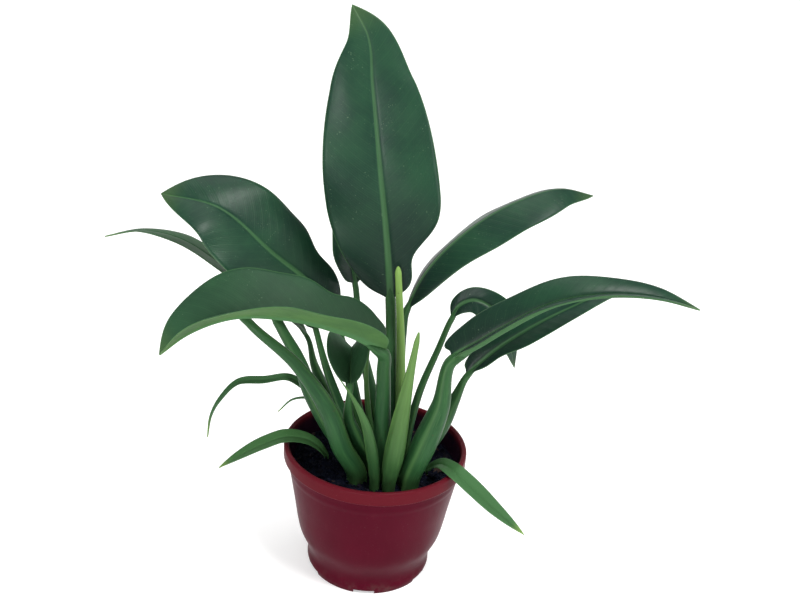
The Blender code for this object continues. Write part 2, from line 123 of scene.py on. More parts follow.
FINE_SPACING = 0.0021         # of the faint lines between the side veins
VEIN_LEAN = 0.75              # how far a vein runs along for each step away from the midrib
VEIN_CURVE = 6.0
PILLOW = 0.00005              # rise of the blade between two side veins
PILLOW_START = 0.004          # it is full this far from the midrib
PILLOW_END = 0.75             # and fades beyond this share of the half width
RIB_TIP = 0.00035             # radius of the midrib at the blade's tip
RIB_TAPER = 0.8
GROOVE = 0.42                 # depth of the groove over the midrib, in rib radii
GROOVE_WIDTH = 1.15
GROOVE_START = 12.0           # how soon the groove gets its full depth along the blade
KEEL = 1.15                   # depth of the midrib under the blade, in rib radii
KEEL_WIDTH = 0.80
MARGIN_POWER = 5              # a blade keeps its thickness until near the margin
NECK_SHARE = 0.95             # a blade is at least this wide beside its neck, in neck radii
NECK_LOSS = 0.90              # and gives up this much of it along the blade
NECK_FADE = 4.0
CHANNEL_ANGLE = 0.55          # half width of the channel along a stalk, in radians
CHANNEL_RIDGE = 0.85          # where the ridges beside it stand
CHANNEL_RIDGE_WIDTH = 0.20
SEAM_TURN = 2.2               # where a rolled leaf's seam lies at its foot, in radians
SEAM_TWIST = 1.3              # and how far it winds on the way to the tip
SEAM_THIN = 0.90              # radius share of the edge that lies inside
SEAM_STEP = 0.17              # and how much further out the covering edge lies
SEAM_WIDTH = 0.02

# Every leaf's route and form, as the frame's own solids have them: route points in mm from
# the pot's axis with heights above the soil. thick holds a stalk's radii in mm at its foot,
# belly and neck, and swell the belly's share of the way up. width is in mm and widest a share
# of the blade. face holds the directions that the base and the tip look in, fold their folds
# in degrees. lobe is in mm, pinch (left share, right share, centre), base the left and right
# base powers. age says how young the leaf looks and pale how pale it is underneath, 0 to 1.
Leaf = namedtuple("Leaf", "name stalk blade thick swell width widest face fold roll wave "
                  "lobe pinch base age pale",
                  defaults=(6, (0.0, 0.0, 0.2), (BASE_POWERS, BASE_POWERS), 0.0, 0.8))

LEAVES = (
    Leaf("tall",
         stalk=((13, -6, 0), (12, 0, 40), (8, 1, 85), (3, 2, 145)),
         blade=((-5, 0, 206), (-11, -2, 243), (-21, 2, 305), (-27, 8, 338), (-39, 12, 357)),
         thick=(4.8, 4.8, 4.0), swell=0.3, width=86, widest=0.36,
         face=((0, -1, 0.1), (0.1, -1, 0.25)), fold=(10, 10), roll=0.18, wave=0.05,
         lobe=6, pinch=(0.0, 0.40, 0.15)),
    Leaf("back_left",
         stalk=((3, 26, 0), (-7, 28, 50), (-20, 28, 100), (-26, 26, 146)),
         blade=((-32, 27, 175), (-36, 26, 200), (-38, 22, 226)),
         thick=(4.4, 4.8, 2.4), swell=0.25, width=34, widest=0.4,
         face=((0.5, -0.9, 0.3), (0.5, -0.7, 0.6)), fold=(15, 15), roll=0.1, wave=0.03),
    Leaf("front_left",
         stalk=((7, -26, 0), (4.5, -30, 50), (2.5, -35, 100), (1, -40, 119)),
         blade=((-12, -47, 131), (-37, -56, 143), (-71, -66, 152), (-104, -74, 152),
                (-133, -82, 140), (-150, -88, 126)),
         thick=(5.4, 6.5, 5.0), swell=0.35, width=74, widest=0.57,
         face=((-0.4, -0.2, 1), (-0.5, -0.3, 0.9)), fold=(48, 40), roll=0.1, wave=0.04,
         lobe=14, pinch=(0.0, 0.24, 0.3), base=((2.1, 0.65), (3.0, 0.45)),
         age=0.12, pale=1.0),
    Leaf("upper_left",
         stalk=((-8, 14, 0), (-18, 15, 40), (-31, 16, 90), (-42, 16, 120)),
         blade=((-58, 14, 145), (-90, 10, 172), (-133, 8, 206), (-174, 6, 213)),
         thick=(4.2, 5.2, 3.4), swell=0.35, width=76, widest=0.52,
         face=((0.25, -0.8, 0.6), (0.3, -0.6, 0.7)), fold=(12, 10), roll=0.15, wave=0.05,
         lobe=8, pinch=(0.0, 0.22, 0.26)),
    Leaf("far_left",
         stalk=((-24, 14, 0), (-43, 26, 42), (-57, 33, 70), (-64, 38, 92)),
         blade=((-97, 44, 120), (-140, 50, 146), (-174, 54, 163), (-209, 58, 166),
                (-238, 60, 158)),
         thick=(4.2, 5.2, 2.0), swell=0.5, width=40, widest=0.4,
         face=((0, 0.14, 1), (0, 0.14, 1)), fold=(8, 8), roll=0.1, wave=0.02, age=0.25),
    Leaf("upper_right",
         stalk=((16, 16, 0), (16, 25, 60), (15, 29, 105), (16, 30, 126)),
         blade=((25, 35, 151), (60, 50, 191), (100, 62, 216), (135, 72, 226), (162, 78, 221)),
         thick=(3.8, 3.8, 3.0), swell=0.3, width=54, widest=0.58,
         face=((-0.4, -0.25, 0.8), (-0.35, -0.25, 0.9)), fold=(-24, -20), roll=0.12, wave=0.03),
    Leaf("right_back",
         stalk=((25, 8, 0), (32, 20, 55), (45, 23, 98), (53, 24, 124)),
         blade=((58, 24, 136), (68, 23, 142), (85, 20, 137), (99, 17, 114), (107, 14, 90)),
         thick=(3.2, 3.2, 2.3), swell=0.3, width=26, widest=0.5,
         face=((-0.6, -0.8, 0.2), (0.8, -0.6, 0.3)), fold=(15, 10), roll=0.1, wave=0.02,
         pale=0.5),
    Leaf("right_front",
         stalk=((28, -36, 0), (38, -39, 45), (47, -40, 78), (53, -37, 117)),
         blade=((72, -36, 132), (90, -36, 146), (125, -36, 168), (156, -36, 176),
                (196, -36, 177), (226, -36, 171)),
         thick=(8.8, 9.8, 4.6), swell=0.36, width=48, widest=0.24,
         face=((-0.2, -0.18, 1), (0.1, -0.18, 1)), fold=(46, 38), roll=0.25, wave=0.03,
         lobe=12, base=((2.8, 0.5), (1.8, 0.8)), pale=0.45),
    Leaf("lower_right",
         stalk=((31, -16, 0), (48, -17, 42), (60, -16, 75), (67, -14, 93)),
         blade=((81, -12, 110), (108, -6, 131), (138, 0, 149), (167, 4, 163), (185, 8, 166)),
         thick=(4.6, 6.6, 2.6), swell=0.55, width=28, widest=0.4,
         face=((-0.3, -0.7, 0.7), (-0.2, -0.6, 0.8)), fold=(20, 15), roll=0.1, wave=0.03,
         lobe=9, pinch=(0.0, 0.22, 0.22), base=((2.4, 0.55), (1.8, 0.9)), pale=0.2),
    Leaf("folded_small",
         stalk=((-4, -16, 0), (-14, -22, 32), (-22, -27, 55), (-22, -31, 86)),
         blade=((-23, -24, 93), (-24, -8, 101), (-25, 8, 99)),
         thick=(5.0, 5.6, 2.2), swell=0.4, width=62, widest=0.45,
         face=((-0.1, -0.25, 1), (-0.1, 0.1, 1)), fold=(60, 56), roll=0.1, wave=0.0,
         lobe=2, base=((2.4, 0.55), (2.4, 0.55)), age=0.18),
    Leaf("left_low",
         stalk=((-12, -30, 0), (-26, -35, 36), (-36, -40, 66), (-61, -40, 102), (-101, -38, 137)),
         blade=((-110, -24, 143), (-119, -4, 148), (-127, 16, 149)),
         thick=(8.6, 8.8, 3.4), swell=0.12, width=26, widest=0.4,
         face=((0.9, 0.1, 0.4), (0.9, 0.1, 0.4)), fold=(10, 10), roll=0.1, wave=0.0),
    Leaf("left_mid",
         stalk=((-22, -8, 0), (-40, 0, 31), (-55, 3, 58), (-68, 6, 88), (-84, 8, 116)),
         blade=((-95, 20, 138), (-110, 34, 161), (-123, 46, 184)),
         thick=(5.5, 6.8, 4.0), swell=0.45, width=36, widest=0.4,
         face=((0.5, -0.6, 0.6), (0.5, -0.6, 0.6)), fold=(15, 15), roll=0.1, wave=0.0),
    Leaf("left_back",
         stalk=((-14, 2, 0), (-34, 12, 49), (-45, 16, 75), (-55, 20, 106)),
         blade=((-61, 27, 124), (-71, 42, 153), (-84, 58, 181)),
         thick=(3.6, 4.0, 2.4), swell=0.4, width=34, widest=0.4,
         face=((0.3, -0.7, 0.6), (0.3, -0.7, 0.6)), fold=(15, 15), roll=0.1, wave=0.0),
)

# Narrow juvenile leaves; inside points are as a stalk's, outside points are (bearing, reach
# past the rim, rise over the rim), and crest is (share of the way between the two, lift)
Strap = namedtuple("Strap", "name inside outside width face fold age crest widest roll wave "
                   "lobe pinch base pale",
                   defaults=(None, 0.55, 0.0, 0.0, 0, (0.0, 0.0, 0.5),
                             (BASE_POWERS, BASE_POWERS), 0.8))

STRAPS = (
    Strap("left_strap",
          inside=((-30, 10, 0), (-44, 16, 30), (-60, 14, 56), (-74, 9, 67)),
          outside=((181, 17, 49), (184, 38, 48), (187, 50, 37), (187, 58, 21), (188, 61, 3)),
          width=7.5, face=((0, -0.8, 1), (-0.7, -0.5, 0.5)), fold=(15, 15), age=0.45),
    Strap("low_left_strap",
          inside=((-40, -4, 0), (-43, -5, 10)), crest=(0.34, 4.7),
          outside=((187, -2, 3), (186, 14, -4), (186, 36, -17), (187, 52, -27)),
          width=14.5, face=((0.2, -0.4, 1), (-0.4, -0.4, 0.9)), fold=(15, 15), age=0.75),
    Strap("low_right_strap",
          inside=((43, -13, 0), (47, -16, 10)), crest=(0.37, 4.3),
          outside=((327, 1, 3), (328, 14, -4), (330, 35, -18), (333, 60, -35)),
          width=15, face=((-0.2, -0.6, 1), (0.3, -0.5, 0.9)), fold=(15, 15), age=0.55),
    Strap("sliver",
          inside=((-33, 24, 0), (-46, 25, 28), (-62, 24, 42), (-72, 24, 40), (-85, 24, 27)),
          outside=(),
          width=3.2, face=((0, -0.3, 1), (-0.5, 0, 0.8)), fold=(10, 10), age=0.6),
)

# Rolled leaves: ages go from foot to tip, and fade is the share over which the tip closes
Spear = namedtuple("Spear", "name route thick belly ages fade")

SPEARS = (
    Spear("yellow_spear", ((20, -13, 0), (18, -8, 50), (14, -5, 110), (7, -5, 175)),
          (3.0, 3.6, 2.4), 0.4, ages=(0.05, 1.0), fade=0.03),
    Spear("green_spear", ((13, -42, 0), (16, -44, 39), (20, -46, 84), (26, -45, 140)),
          (5.2, 7.6, 1.9), 0.25, ages=(0.0, 0.50), fade=0.06),
    Spear("sheath", ((2, -41, 0), (-1, -45, 34), (-9, -49, 66), (-18, -50, 84), (-30, -52, 102)),
          (4.0, 4.4, 0.8), 0.3, ages=(0.0, 0.2), fade=0.30),
    Spear("thin_spear", ((-1, 4, 0), (-9, 7, 50), (-12, 7, 81), (-10, 7, 116)),
          (2.2, 2.2, 1.0), 0.4, ages=(0.0, 0.3), fade=0.10),
)

# Lights: place and aim in metres, size as width and height, power in watts
Lamp = namedtuple("Lamp", "name place aim size power shade")

LAMPS = (
    Lamp("key", (0.46, -0.54, 1.56), (-0.05, 0.0, 0.27), (0.36, 0.36), 19.0,
         (1.0, 0.995, 0.98)),
    Lamp("window", (-0.42, -1.25, 0.30), (-0.04, 0.0, 0.36), (0.11, 0.42), 8.0,
         (0.98, 0.99, 1.0)),
    Lamp("side", (1.30, -0.35, 0.40), (0.0, 0.0, 0.12), (0.30, 0.70), 6.0,
         (0.98, 0.99, 1.0)),
    Lamp("top", (-0.10, 0.30, 1.85), (0.0, 0.0, 0.2), (0.9, 0.8), 8.0, (1.0, 1.0, 1.0)),
)
SENSOR_WIDTH = 36.0           # of the camera, in mm
FLOOR_FLAT = (0.3, 0.8, 1.6)  # radii of the floor's level rings, in metres
FLOOR_BEND = 1.2              # radius of the curve that joins the floor to the wall around it
WALL_HEIGHTS = (1.8, 2.4)

# How far each finish's bumps stand out, in metres
FINE_BUMP = 0.0004
SOIL_BUMP = 0.0008
PAPER_BUMP = 0.0002

# How finely each kind of piece is divided
BLADE_ROWS = 141
STRAP_ROWS = 121
BLADE_COLUMNS = 41
BLADE_GATHER = 0.55           # rows lie closer at both ends of a blade
MIDRIB_GATHER = 1.6           # and columns closer beside the midrib
TUBE_SIDES = 32
STALK_RINGS = 64
NECK_RINGS = 12
SUNK_RINGS = 3
SPEAR_RINGS = 90
SPEAR_GATHER = 0.4
WALL_STEPS = 48
INNER_STEPS = 26
POT_SEGMENTS = 144
SOIL_RINGS = 90
SOIL_SEGMENTS = 180
SOIL_DEPTH_RINGS = 14
BED_RINGS = 24
BED_SEGMENTS = 72
FLOOR_SEGMENTS = 96


# ---- settings -----------------------------------------------------------------------
def colour(name, description, default):
    return FloatVectorProperty(name=name, description=description, subtype="COLOR",
                               size=3, min=0.0, max=1.0, default=default)


def length(name, description, default):
    return FloatProperty(name=name, description=description, unit="LENGTH",
                         subtype="DISTANCE", default=default, min=0.0, precision=4)


class PotSettings(bpy.types.PropertyGroup):
    rim_band: length("Rim band", "Height of the rolled rim", 0.0115)
    lip_width: length("Lip width", "Width of the rim seen from above", 0.0044)
    wall: length("Wall", "Thickness of the pot's wall", 0.0022)
    floor: length("Floor", "Thickness of the pot's floor", 0.0024)
    body: colour("Body", "Colour of the moulded plastic", (0.056, 0.0020, 0.0090))
    # Rim: painted light, a lighter and paler red standing in for the light and sheen that the
    # rolled rim catches
    rim: colour("Rim", "Colour of the handled rim", (0.080, 0.0070, 0.0110))
    worn: colour("Worn", "Colour where the plastic is scuffed", (0.085, 0.014, 0.022))
    # Inner: painted shade, the near-black colour given to the inner wall above the soil in place
    # of the shade inside the pot
    inner: colour("Inner", "Colour of the damp inner wall", (0.0024, 0.0034, 0.0100))
    grime: colour("Grime", "Colour of the dirt at the foot", (0.075, 0.045, 0.040))
    fleck: colour("Fleck", "Colour of the fine flecks", (0.25, 0.17, 0.16))


class SoilSettings(bpy.types.PropertyGroup):
    crumb: length("Crumb", "Size of a typical crumb", 0.0021)
    density: FloatProperty(name="Density", description="Crumbs per square metre",
                           default=150000.0, min=0.0)
    seed: IntProperty(name="Seed", description="Seed of the scattered crumbs", default=7)
    damp: colour("Damp", "Colour of the damp mix", (0.0032, 0.0048, 0.0135))
    bark: colour("Bark", "Colour of the bark bits", (0.0095, 0.0080, 0.0120))
    fibre: colour("Fibre", "Colour of the few pale fibres", (0.034, 0.022, 0.018))
    grit: colour("Grit", "Colour of the fine grit", (0.014, 0.017, 0.030))


class LeafSettings(bpy.types.PropertyGroup):
    thickness: length("Thickness", "Thickness of a blade beside the midrib", 0.0008)
    edge: length("Edge", "Thickness of a blade at its margin", 0.0004)
    rib: FloatProperty(name="Rib", description="Radius of the midrib as a share of the neck's",
                       default=0.62, min=0.0)
    deep: colour("Deep green", "Darkest green of the upper side", (0.0036, 0.0220, 0.0130))
    fresh: colour("Fresh green", "Lightest green of the upper side", (0.0085, 0.0390, 0.0185))
    vein: colour("Vein", "Colour of the midrib", (0.044, 0.118, 0.042))
    under: colour("Underside", "Colour of the under side", (0.055, 0.126, 0.036))
    # Base: painted shade, the dark green that the upper side takes on towards the stalk end of a
    # blade
    base: colour("Base", "Green of the upper side beside the stalk", (0.0022, 0.0100, 0.0072))
    young: colour("Young", "Green of a young leaf", (0.050, 0.140, 0.040))
    tip: colour("Tip", "Colour of a drying tip", (0.170, 0.270, 0.060))
    dust: colour("Dust", "Colour of the dust specks", (0.16, 0.25, 0.15))


class StalkSettings(bpy.types.PropertyGroup):
    green: colour("Green", "Colour of the stalks", (0.0100, 0.0430, 0.0145))
    stripe: colour("Stripe", "Colour of the lighter stripes", (0.018, 0.064, 0.021))
    pale: colour("Pale", "Colour of ridges and young growth", (0.085, 0.190, 0.055))
    spear: colour("Spear", "Colour of the rolled new leaves", (0.150, 0.260, 0.062))
    spot: colour("Spot", "Colour of the brown spots", (0.055, 0.030, 0.018))
    soiled: colour("Soiled", "Colour of the soil that clings to a stalk's foot",
                   (0.020, 0.014, 0.011))


class StageSettings(bpy.types.PropertyGroup):
    distance: length("Distance", "Camera to the point it looks at", 0.6534)
    look_height: length("Look height", "Height of the point the camera looks at", 0.2382)
    look_side: length("Look side", "How far right of the axis the camera looks", 0.0104)
    lens: FloatProperty(name="Lens", description="Focal length in mm", default=38.25)
    elevation: FloatProperty(name="Elevation", description="Camera's angle above level",
                             subtype="ANGLE", default=math.radians(21.24))
    tilt: FloatProperty(name="Tilt", description="Camera's roll about its own axis",
                        subtype="ANGLE", default=math.radians(4.63))
    floor: colour("Floor", "Colour of the floor", (0.80, 0.80, 0.80))
    floor_glow: FloatProperty(name="Floor glow", description="Light the floor gives off",
                              default=0.34, min=0.0)
    world_glow: FloatProperty(name="World glow", description="Light from all around",
                              default=0.57, min=0.0)


# ---- routes and blades --------------------------------------------------------------
def smoothstep(t):
    t = np.clip(t, 0.0, 1.0)
    return t * t * (3.0 - 2.0 * t)


def unit(vectors):
    return vectors / np.linalg.norm(vectors, axis=-1, keepdims=True)


class Route:
    """A smooth curve through a few points, read by the distance along it."""

    FINE = 24        # samples between two points
    NEAR = 0.01      # share of the length over which a heading is read

    def __init__(self, points):
        p = np.array(points, float)
        spans = np.linalg.norm(np.diff(p, axis=0), axis=1)
        steps = np.diff(p, axis=0) / spans[:, None]
        share = (spans[:-1] / (spans[:-1] + spans[1:]))[:, None]
        inner = steps[:-1] * (1.0 - share) + steps[1:] * share
        slopes = np.vstack([steps[:1], inner, steps[-1:]])
        u = np.arange(self.FINE)[:, None] / self.FINE
        rows = []
        for i, span in enumerate(spans):
            rows.append(p[i] * (2 * u ** 3 - 3 * u ** 2 + 1)
                        + slopes[i] * span * (u ** 3 - 2 * u ** 2 + u)
                        + p[i + 1] * (3 * u ** 2 - 2 * u ** 3)
                        + slopes[i + 1] * span * (u ** 3 - u ** 2))
        self.samples = np.vstack(rows + [p[-1:]])
        gaps = np.linalg.norm(np.diff(self.samples, axis=0), axis=1)
        self.lengths = np.concatenate([[0.0], np.cumsum(gaps)])

    def length(self):
        return self.lengths[-1]

    def length_to(self, index):
        return self.lengths[index * self.FINE]

    def at(self, distance):
        """Places at distances; a negative one lies straight back from the start."""
        distance = np.asarray(distance, float)
        axes = [np.interp(distance, self.lengths, self.samples[:, k]) for k in range(3)]
        first = self.samples[1] - self.samples[0]
        back = np.minimum(distance, 0.0)[..., None] * first / np.linalg.norm(first)
        return np.stack(axes, axis=-1) + back

    def heading(self, distance):
        step = self.length() * self.NEAR
        return unit(self.at(distance + step) - self.at(distance - step))


def plant_point(point):
    x, y, height = point
    return (x * MM, y * MM, SOIL_TOP + GAP + height * MM)


def rooted_route(points):
    foot = points[0]
    rise = (foot[0], foot[1], foot[2] + FOOT_RISE)
    return [plant_point(foot), plant_point(rise)] + [plant_point(p) for p in points[1:]]


def rim_point(bearing, reach, rise):
    angle = math.radians(bearing)
    radius = RIM_RADIUS + reach * MM
    return (radius * math.cos(angle), radius * math.sin(angle), POT_HEIGHT + rise * MM)


def blade_profile(along, widest, base):
    """Share of the full width along a lance-shaped blade with a rounded base."""
    low = np.clip((widest - along) / widest, 0.0, 1.0)
    high = np.clip((along - widest) / (1.0 - widest), 0.0, 1.0)
    return np.where(along < widest, (1.0 - low ** base[0]) ** base[1],
                    (1.0 - high ** TIP_POWERS[0]) ** TIP_POWERS[1])


def vein_lead(run, off):
    """How far along the midrib a side vein starts that passes a place beside it."""
    return run - off * VEIN_LEAN - off * off * VEIN_CURVE


class BladeShape:
    """The middle surface of a blade as a grid of places, with its own measures."""

    def __init__(self, route, start, leaf, width, neck):
        self.route = route
        self.start = start
        self.leaf = leaf
        self.half_width = width / 2
        self.neck = neck

    def half_at(self, along, across):
        left, right, centre = self.leaf.pinch
        amount = np.where(across > 0, right, left)
        drawn_in = 1.0 - amount * np.exp(-((along - centre) / PINCH_LENGTH) ** 2)
        left_base, right_base = [blade_profile(along, self.leaf.widest, base)
                                 for base in self.leaf.base]
        wide = self.half_width * np.where(across > 0, right_base, left_base) * drawn_in
        narrow = self.neck * (NECK_SHARE - NECK_LOSS * smoothstep(along * NECK_FADE))
        return np.maximum(wide, narrow)

    def surface(self, along, across):
        """Places and half widths for arrays of shares along and across the blade."""
        leaf = self.leaf
        distance = self.start + (self.route.length() - self.start) * along
        heading = self.route.heading(distance)
        base, tip = [np.array(f, float) / np.linalg.norm(f) for f in leaf.face]
        ease = smoothstep(along)[..., None]
        face = unit(base * (1.0 - ease) + tip * ease)
        side = unit(np.cross(heading, face))
        normal = unit(np.cross(side, heading))
        half = self.half_at(along, across)
        reach = np.abs(across)
        fold = np.radians(leaf.fold[0] + (leaf.fold[1] - leaf.fold[0]) * along)
        lift = np.sin(fold) * reach - leaf.roll * reach ** 2
        lift += leaf.wave * reach ** 2 * np.sin(math.tau * WAVES * along + 2.0 * across)
        beside = smoothstep((half * reach - LOBE_START * self.neck)
                            / (LOBE_SPREAD * self.half_width))
        back = leaf.lobe * MM * beside * (1.0 - along) ** LOBE_FADE
        places = (self.route.at(distance) - heading * back[..., None]
                  + side * (half * np.cos(fold) * across)[..., None]
                  + normal * (half * lift)[..., None])
        return places, half


def grid_normals(places):
    down = np.gradient(places, axis=0)
    over = np.gradient(places, axis=1)
    return unit(np.cross(over, down))


# ---- mesh and piece helpers ---------------------------------------------------------
def mesh_from(name, points, faces, attributes=()):
    mesh = bpy.data.meshes.new(name)
    mesh.from_pydata([tuple(p) for p in points], [], [tuple(int(v) for v in f) for f in faces])
    for label, values in attributes:
        kind = "FLOAT" if values.ndim == 1 else "FLOAT_VECTOR"
        layer = mesh.attributes.new(label, kind, "POINT")
        layer.data.foreach_set("value" if kind == "FLOAT" else "vector",
                               values.astype(np.float32).ravel())
    mesh.polygons.foreach_set("use_smooth", [True] * len(mesh.polygons))
    mesh.update()
    return mesh


def add_object(name, data):
    made = bpy.data.objects.new(name, data)
    bpy.context.scene.collection.objects.link(made)
    return made


def finish_piece(mesh, material, node):
    """A visible piece on the root body; it replaces its node where the frame has one."""
    mesh.materials.clear()
    mesh.materials.append(material)
    piece = add_object("fine_" + node, mesh)
    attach(piece, ROOT)
    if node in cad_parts:
        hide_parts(node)


def disc_faces(rings, segments):
    """Faces of a disc whose points are its centre and then ring after ring."""
    faces = []
    for k in range(segments):
        n = (k + 1) % segments
        faces.append((0, 1 + k, 1 + n))
        for i in range(rings - 1):
            a = 1 + i * segments
            b = a + segments
            faces.append((a + k, b + k, b + n, a + n))
    return faces


# ---- shading ------------------------------------------------------------------------
class Value:
    """A shader socket that can stand in a sum, product or power."""

    def __init__(self, finish, socket):
        self.finish = finish
        self.socket = socket

    def maths(self, operation, first, second=None):
        inputs = {0: first} if second is None else {0: first, 1: second}
        return self.finish.node("ShaderNodeMath", {"operation": operation}, inputs)

    def __add__(self, other):
        return self.maths("ADD", self, other)

    def __sub__(self, other):
        return self.maths("SUBTRACT", self, other)

    def __rsub__(self, other):
        return self.maths("SUBTRACT", other, self)

    def __mul__(self, other):
        return self.maths("MULTIPLY", self, other)

    def __truediv__(self, other):
        return self.maths("DIVIDE", self, other)

    def __pow__(self, other):
        return self.maths("POWER", self, other)

    __radd__ = __add__
    __rmul__ = __mul__

    def positive(self):
        return self.maths("ABSOLUTE", self)

    def sine(self):
        return self.maths("SINE", self)

    def band(self, low, high):
        """0 below low, 1 above high, and smooth between; falls if low is over high."""
        return self.finish.node("ShaderNodeMapRange", {"interpolation_type": "SMOOTHSTEP"},
                                {"Value": self, "From Min": low, "From Max": high})


class Finish:
    """A material whose nodes are written as expressions."""

    def __init__(self, name, specular):
        self.material = bpy.data.materials.new(name)
        self.material.use_nodes = True
        self.tree = self.material.node_tree
        self.shader = self.tree.nodes["Principled BSDF"]
        self.shader.inputs["Specular IOR Level"].default_value = specular

    def node(self, kind, settings=None, inputs=None, output=0):
        node = self.tree.nodes.new(kind)
        for key, value in (settings or {}).items():
            setattr(node, key, value)
        for key, value in (inputs or {}).items():
            self.feed(node.inputs[key], value)
        return Value(self, node.outputs[output])

    def feed(self, socket, value):
        if isinstance(value, Value):
            self.tree.links.new(value.socket, socket)
        elif socket.type == "RGBA":
            socket.default_value = (*value, 1.0)
        else:
            socket.default_value = value

    def place(self):
        return self.node("ShaderNodeTexCoord", output="Object")

    def facing(self):
        return self.node("ShaderNodeTexCoord", output="Normal")

    def attribute(self, name, output="Fac"):
        return self.node("ShaderNodeAttribute", {"attribute_name": name}, output=output)

    def parts(self, vector):
        node = self.node("ShaderNodeSeparateXYZ", inputs={0: vector}).socket.node
        return [Value(self, node.outputs[k]) for k in range(3)]

    def joined(self, x, y, z):
        return self.node("ShaderNodeCombineXYZ", inputs={0: x, 1: y, 2: z})

    def noise(self, vector, scale, detail=3.0, roughness=0.55, distortion=0.0):
        return self.node("ShaderNodeTexNoise", inputs={
            "Vector": vector, "Scale": scale, "Detail": detail, "Roughness": roughness,
            "Distortion": distortion})

    def mix(self, factor, first, second):
        return self.node("ShaderNodeMix", {"data_type": "RGBA"},
                         {"Factor": factor, 6: first, 7: second}, output=2)

    def bump(self, height, strength, distance):
        return self.node("ShaderNodeBump", inputs={"Height": height, "Strength": strength,
                                                   "Distance": distance})

    def surface(self, **channels):
        names = {"colour": "Base Color", "roughness": "Roughness", "normal": "Normal"}
        for key, value in channels.items():
            self.feed(self.shader.inputs[names[key]], value)
        return self.material


# ---- materials ----------------------------------------------------------------------
def dimmed(shade, share):
    return tuple(share * c for c in shade)


def leaf_finish(settings, name):
    """Waxy green above with a pale midrib and painted shade towards the stalk, paler and duller
    below, lighter when young.
    """
    finish = Finish(name, specular=0.15)
    lateral, run, under = finish.parts(finish.attribute("sheet", "Vector"))
    along, margin, rib = finish.parts(finish.attribute("share", "Vector"))
    age = finish.attribute("age")
    place = finish.place()
    off = lateral.positive()
    patches = finish.noise(place, 26.0, 4.0, 0.6)
    grain = finish.noise(place, 900.0, 2.0, 0.6)
    dust = finish.noise(place, 60.0, 5.0, 0.65, 0.6)
    lead = vein_lead(run, off)
    ribs = (lead * (math.tau / VEIN_SPACING) + patches * 1.4).sine()
    veins = ribs.band(0.90, 1.0) * off.band(0.0006, 0.003)
    fine = ((lead * (math.tau / FINE_SPACING)).sine() * 0.5 + 0.5) * off.band(0.001, 0.004)
    midrib = (off / rib).band(1.25, 0.55)
    upper = finish.mix(patches.band(0.30, 0.72), settings.deep, settings.fresh)
    # Painted shade: the upper side darkens over the lower half of the blade, towards the stalk
    upper = finish.mix(along.band(0.50, 0.05) * 0.80, upper, settings.base)
    upper = finish.mix(age, upper, settings.young)
    upper = finish.mix(veins * 0.05, upper, settings.vein)
    upper = finish.mix(fine * 0.025, upper, settings.vein)
    plain = 1.0 - age.band(0.0, 0.5) * 0.8
    upper = finish.mix(midrib * plain * (0.72 - along * 0.36), upper, settings.vein)
    lower = finish.mix(patches.band(0.30, 0.75) * 0.5, settings.under, settings.fresh)
    lower = finish.mix(midrib, lower, settings.vein)
    colour = finish.mix(under, upper, lower)
    colour = finish.mix(margin.band(0.0009, 0.0002) * 0.6, colour, settings.vein)
    ripe = along.band(0.88, 1.0) * (age.band(0.1, 0.5) * 0.6 + 0.12)
    colour = finish.mix(ripe, colour, settings.tip)
    specks = finish.noise(place, 950.0, 0.0, 0.5).band(0.76, 0.81)
    colour = finish.mix(specks * dust.band(0.45, 0.65) * 0.25, colour, settings.dust)
    height = veins * -0.20 + fine * 0.14 + grain * 0.30 + patches * 0.6
    return finish.surface(colour=colour,
                          roughness=(dust * 0.20 + under * 0.12 + grain * 0.05
                                     + age.band(0.0, 0.12) * 0.20 + 0.245),
                          normal=finish.bump(height, 0.30, FINE_BUMP))


def stalk_finish(settings, name):
    """Green with finer and broader stripes along the stalk; yellower when young."""
    finish = Finish(name, specular=0.12)
    side, run, depth = finish.parts(finish.attribute("sheet", "Vector"))
    along, ridge, rise = finish.parts(finish.attribute("share", "Vector"))
    age = finish.attribute("age")
    place = finish.place()
    fibre = finish.noise(finish.joined(side * 900.0, run * 45.0, depth * 900.0), 1.0, 3.0, 0.6)
    stripe = finish.noise(finish.joined(side * 320.0, run * 14.0, depth * 320.0), 1.0, 2.0, 0.5)
    patches = finish.noise(place, 40.0, 3.0)
    colour = finish.mix(stripe.band(0.32, 0.70), settings.green, settings.stripe)
    colour = finish.mix(fibre.band(0.50, 0.80) * 0.16, colour, settings.pale)
    colour = finish.mix(ridge * 0.45, colour, settings.pale)
    colour = finish.mix(rise.band(0.028, 0.002) * 0.20, colour, settings.pale)
    colour = finish.mix(along.band(0.55, 1.0) * 0.08, colour, settings.pale)
    colour = finish.mix(age, colour, settings.spear)
    spots = finish.noise(place, 330.0, 1.0, 0.5).band(0.70, 0.76)
    spots = spots * (rise.band(0.12, 0.02) + age.band(0.75, 0.95))
    colour = finish.mix(spots * 0.55, colour, settings.spot)
    soiled = finish.noise(place, 150.0, 4.0, 0.65).band(0.42, 0.62) * rise.band(0.011, 0.001)
    colour = finish.mix(soiled * 0.85, colour, settings.soiled)
    return finish.surface(colour=colour, roughness=patches * 0.16 + soiled * 0.3 + 0.34,
                          normal=finish.bump(fibre * 0.6 + stripe * 0.5, 0.35, FINE_BUMP))


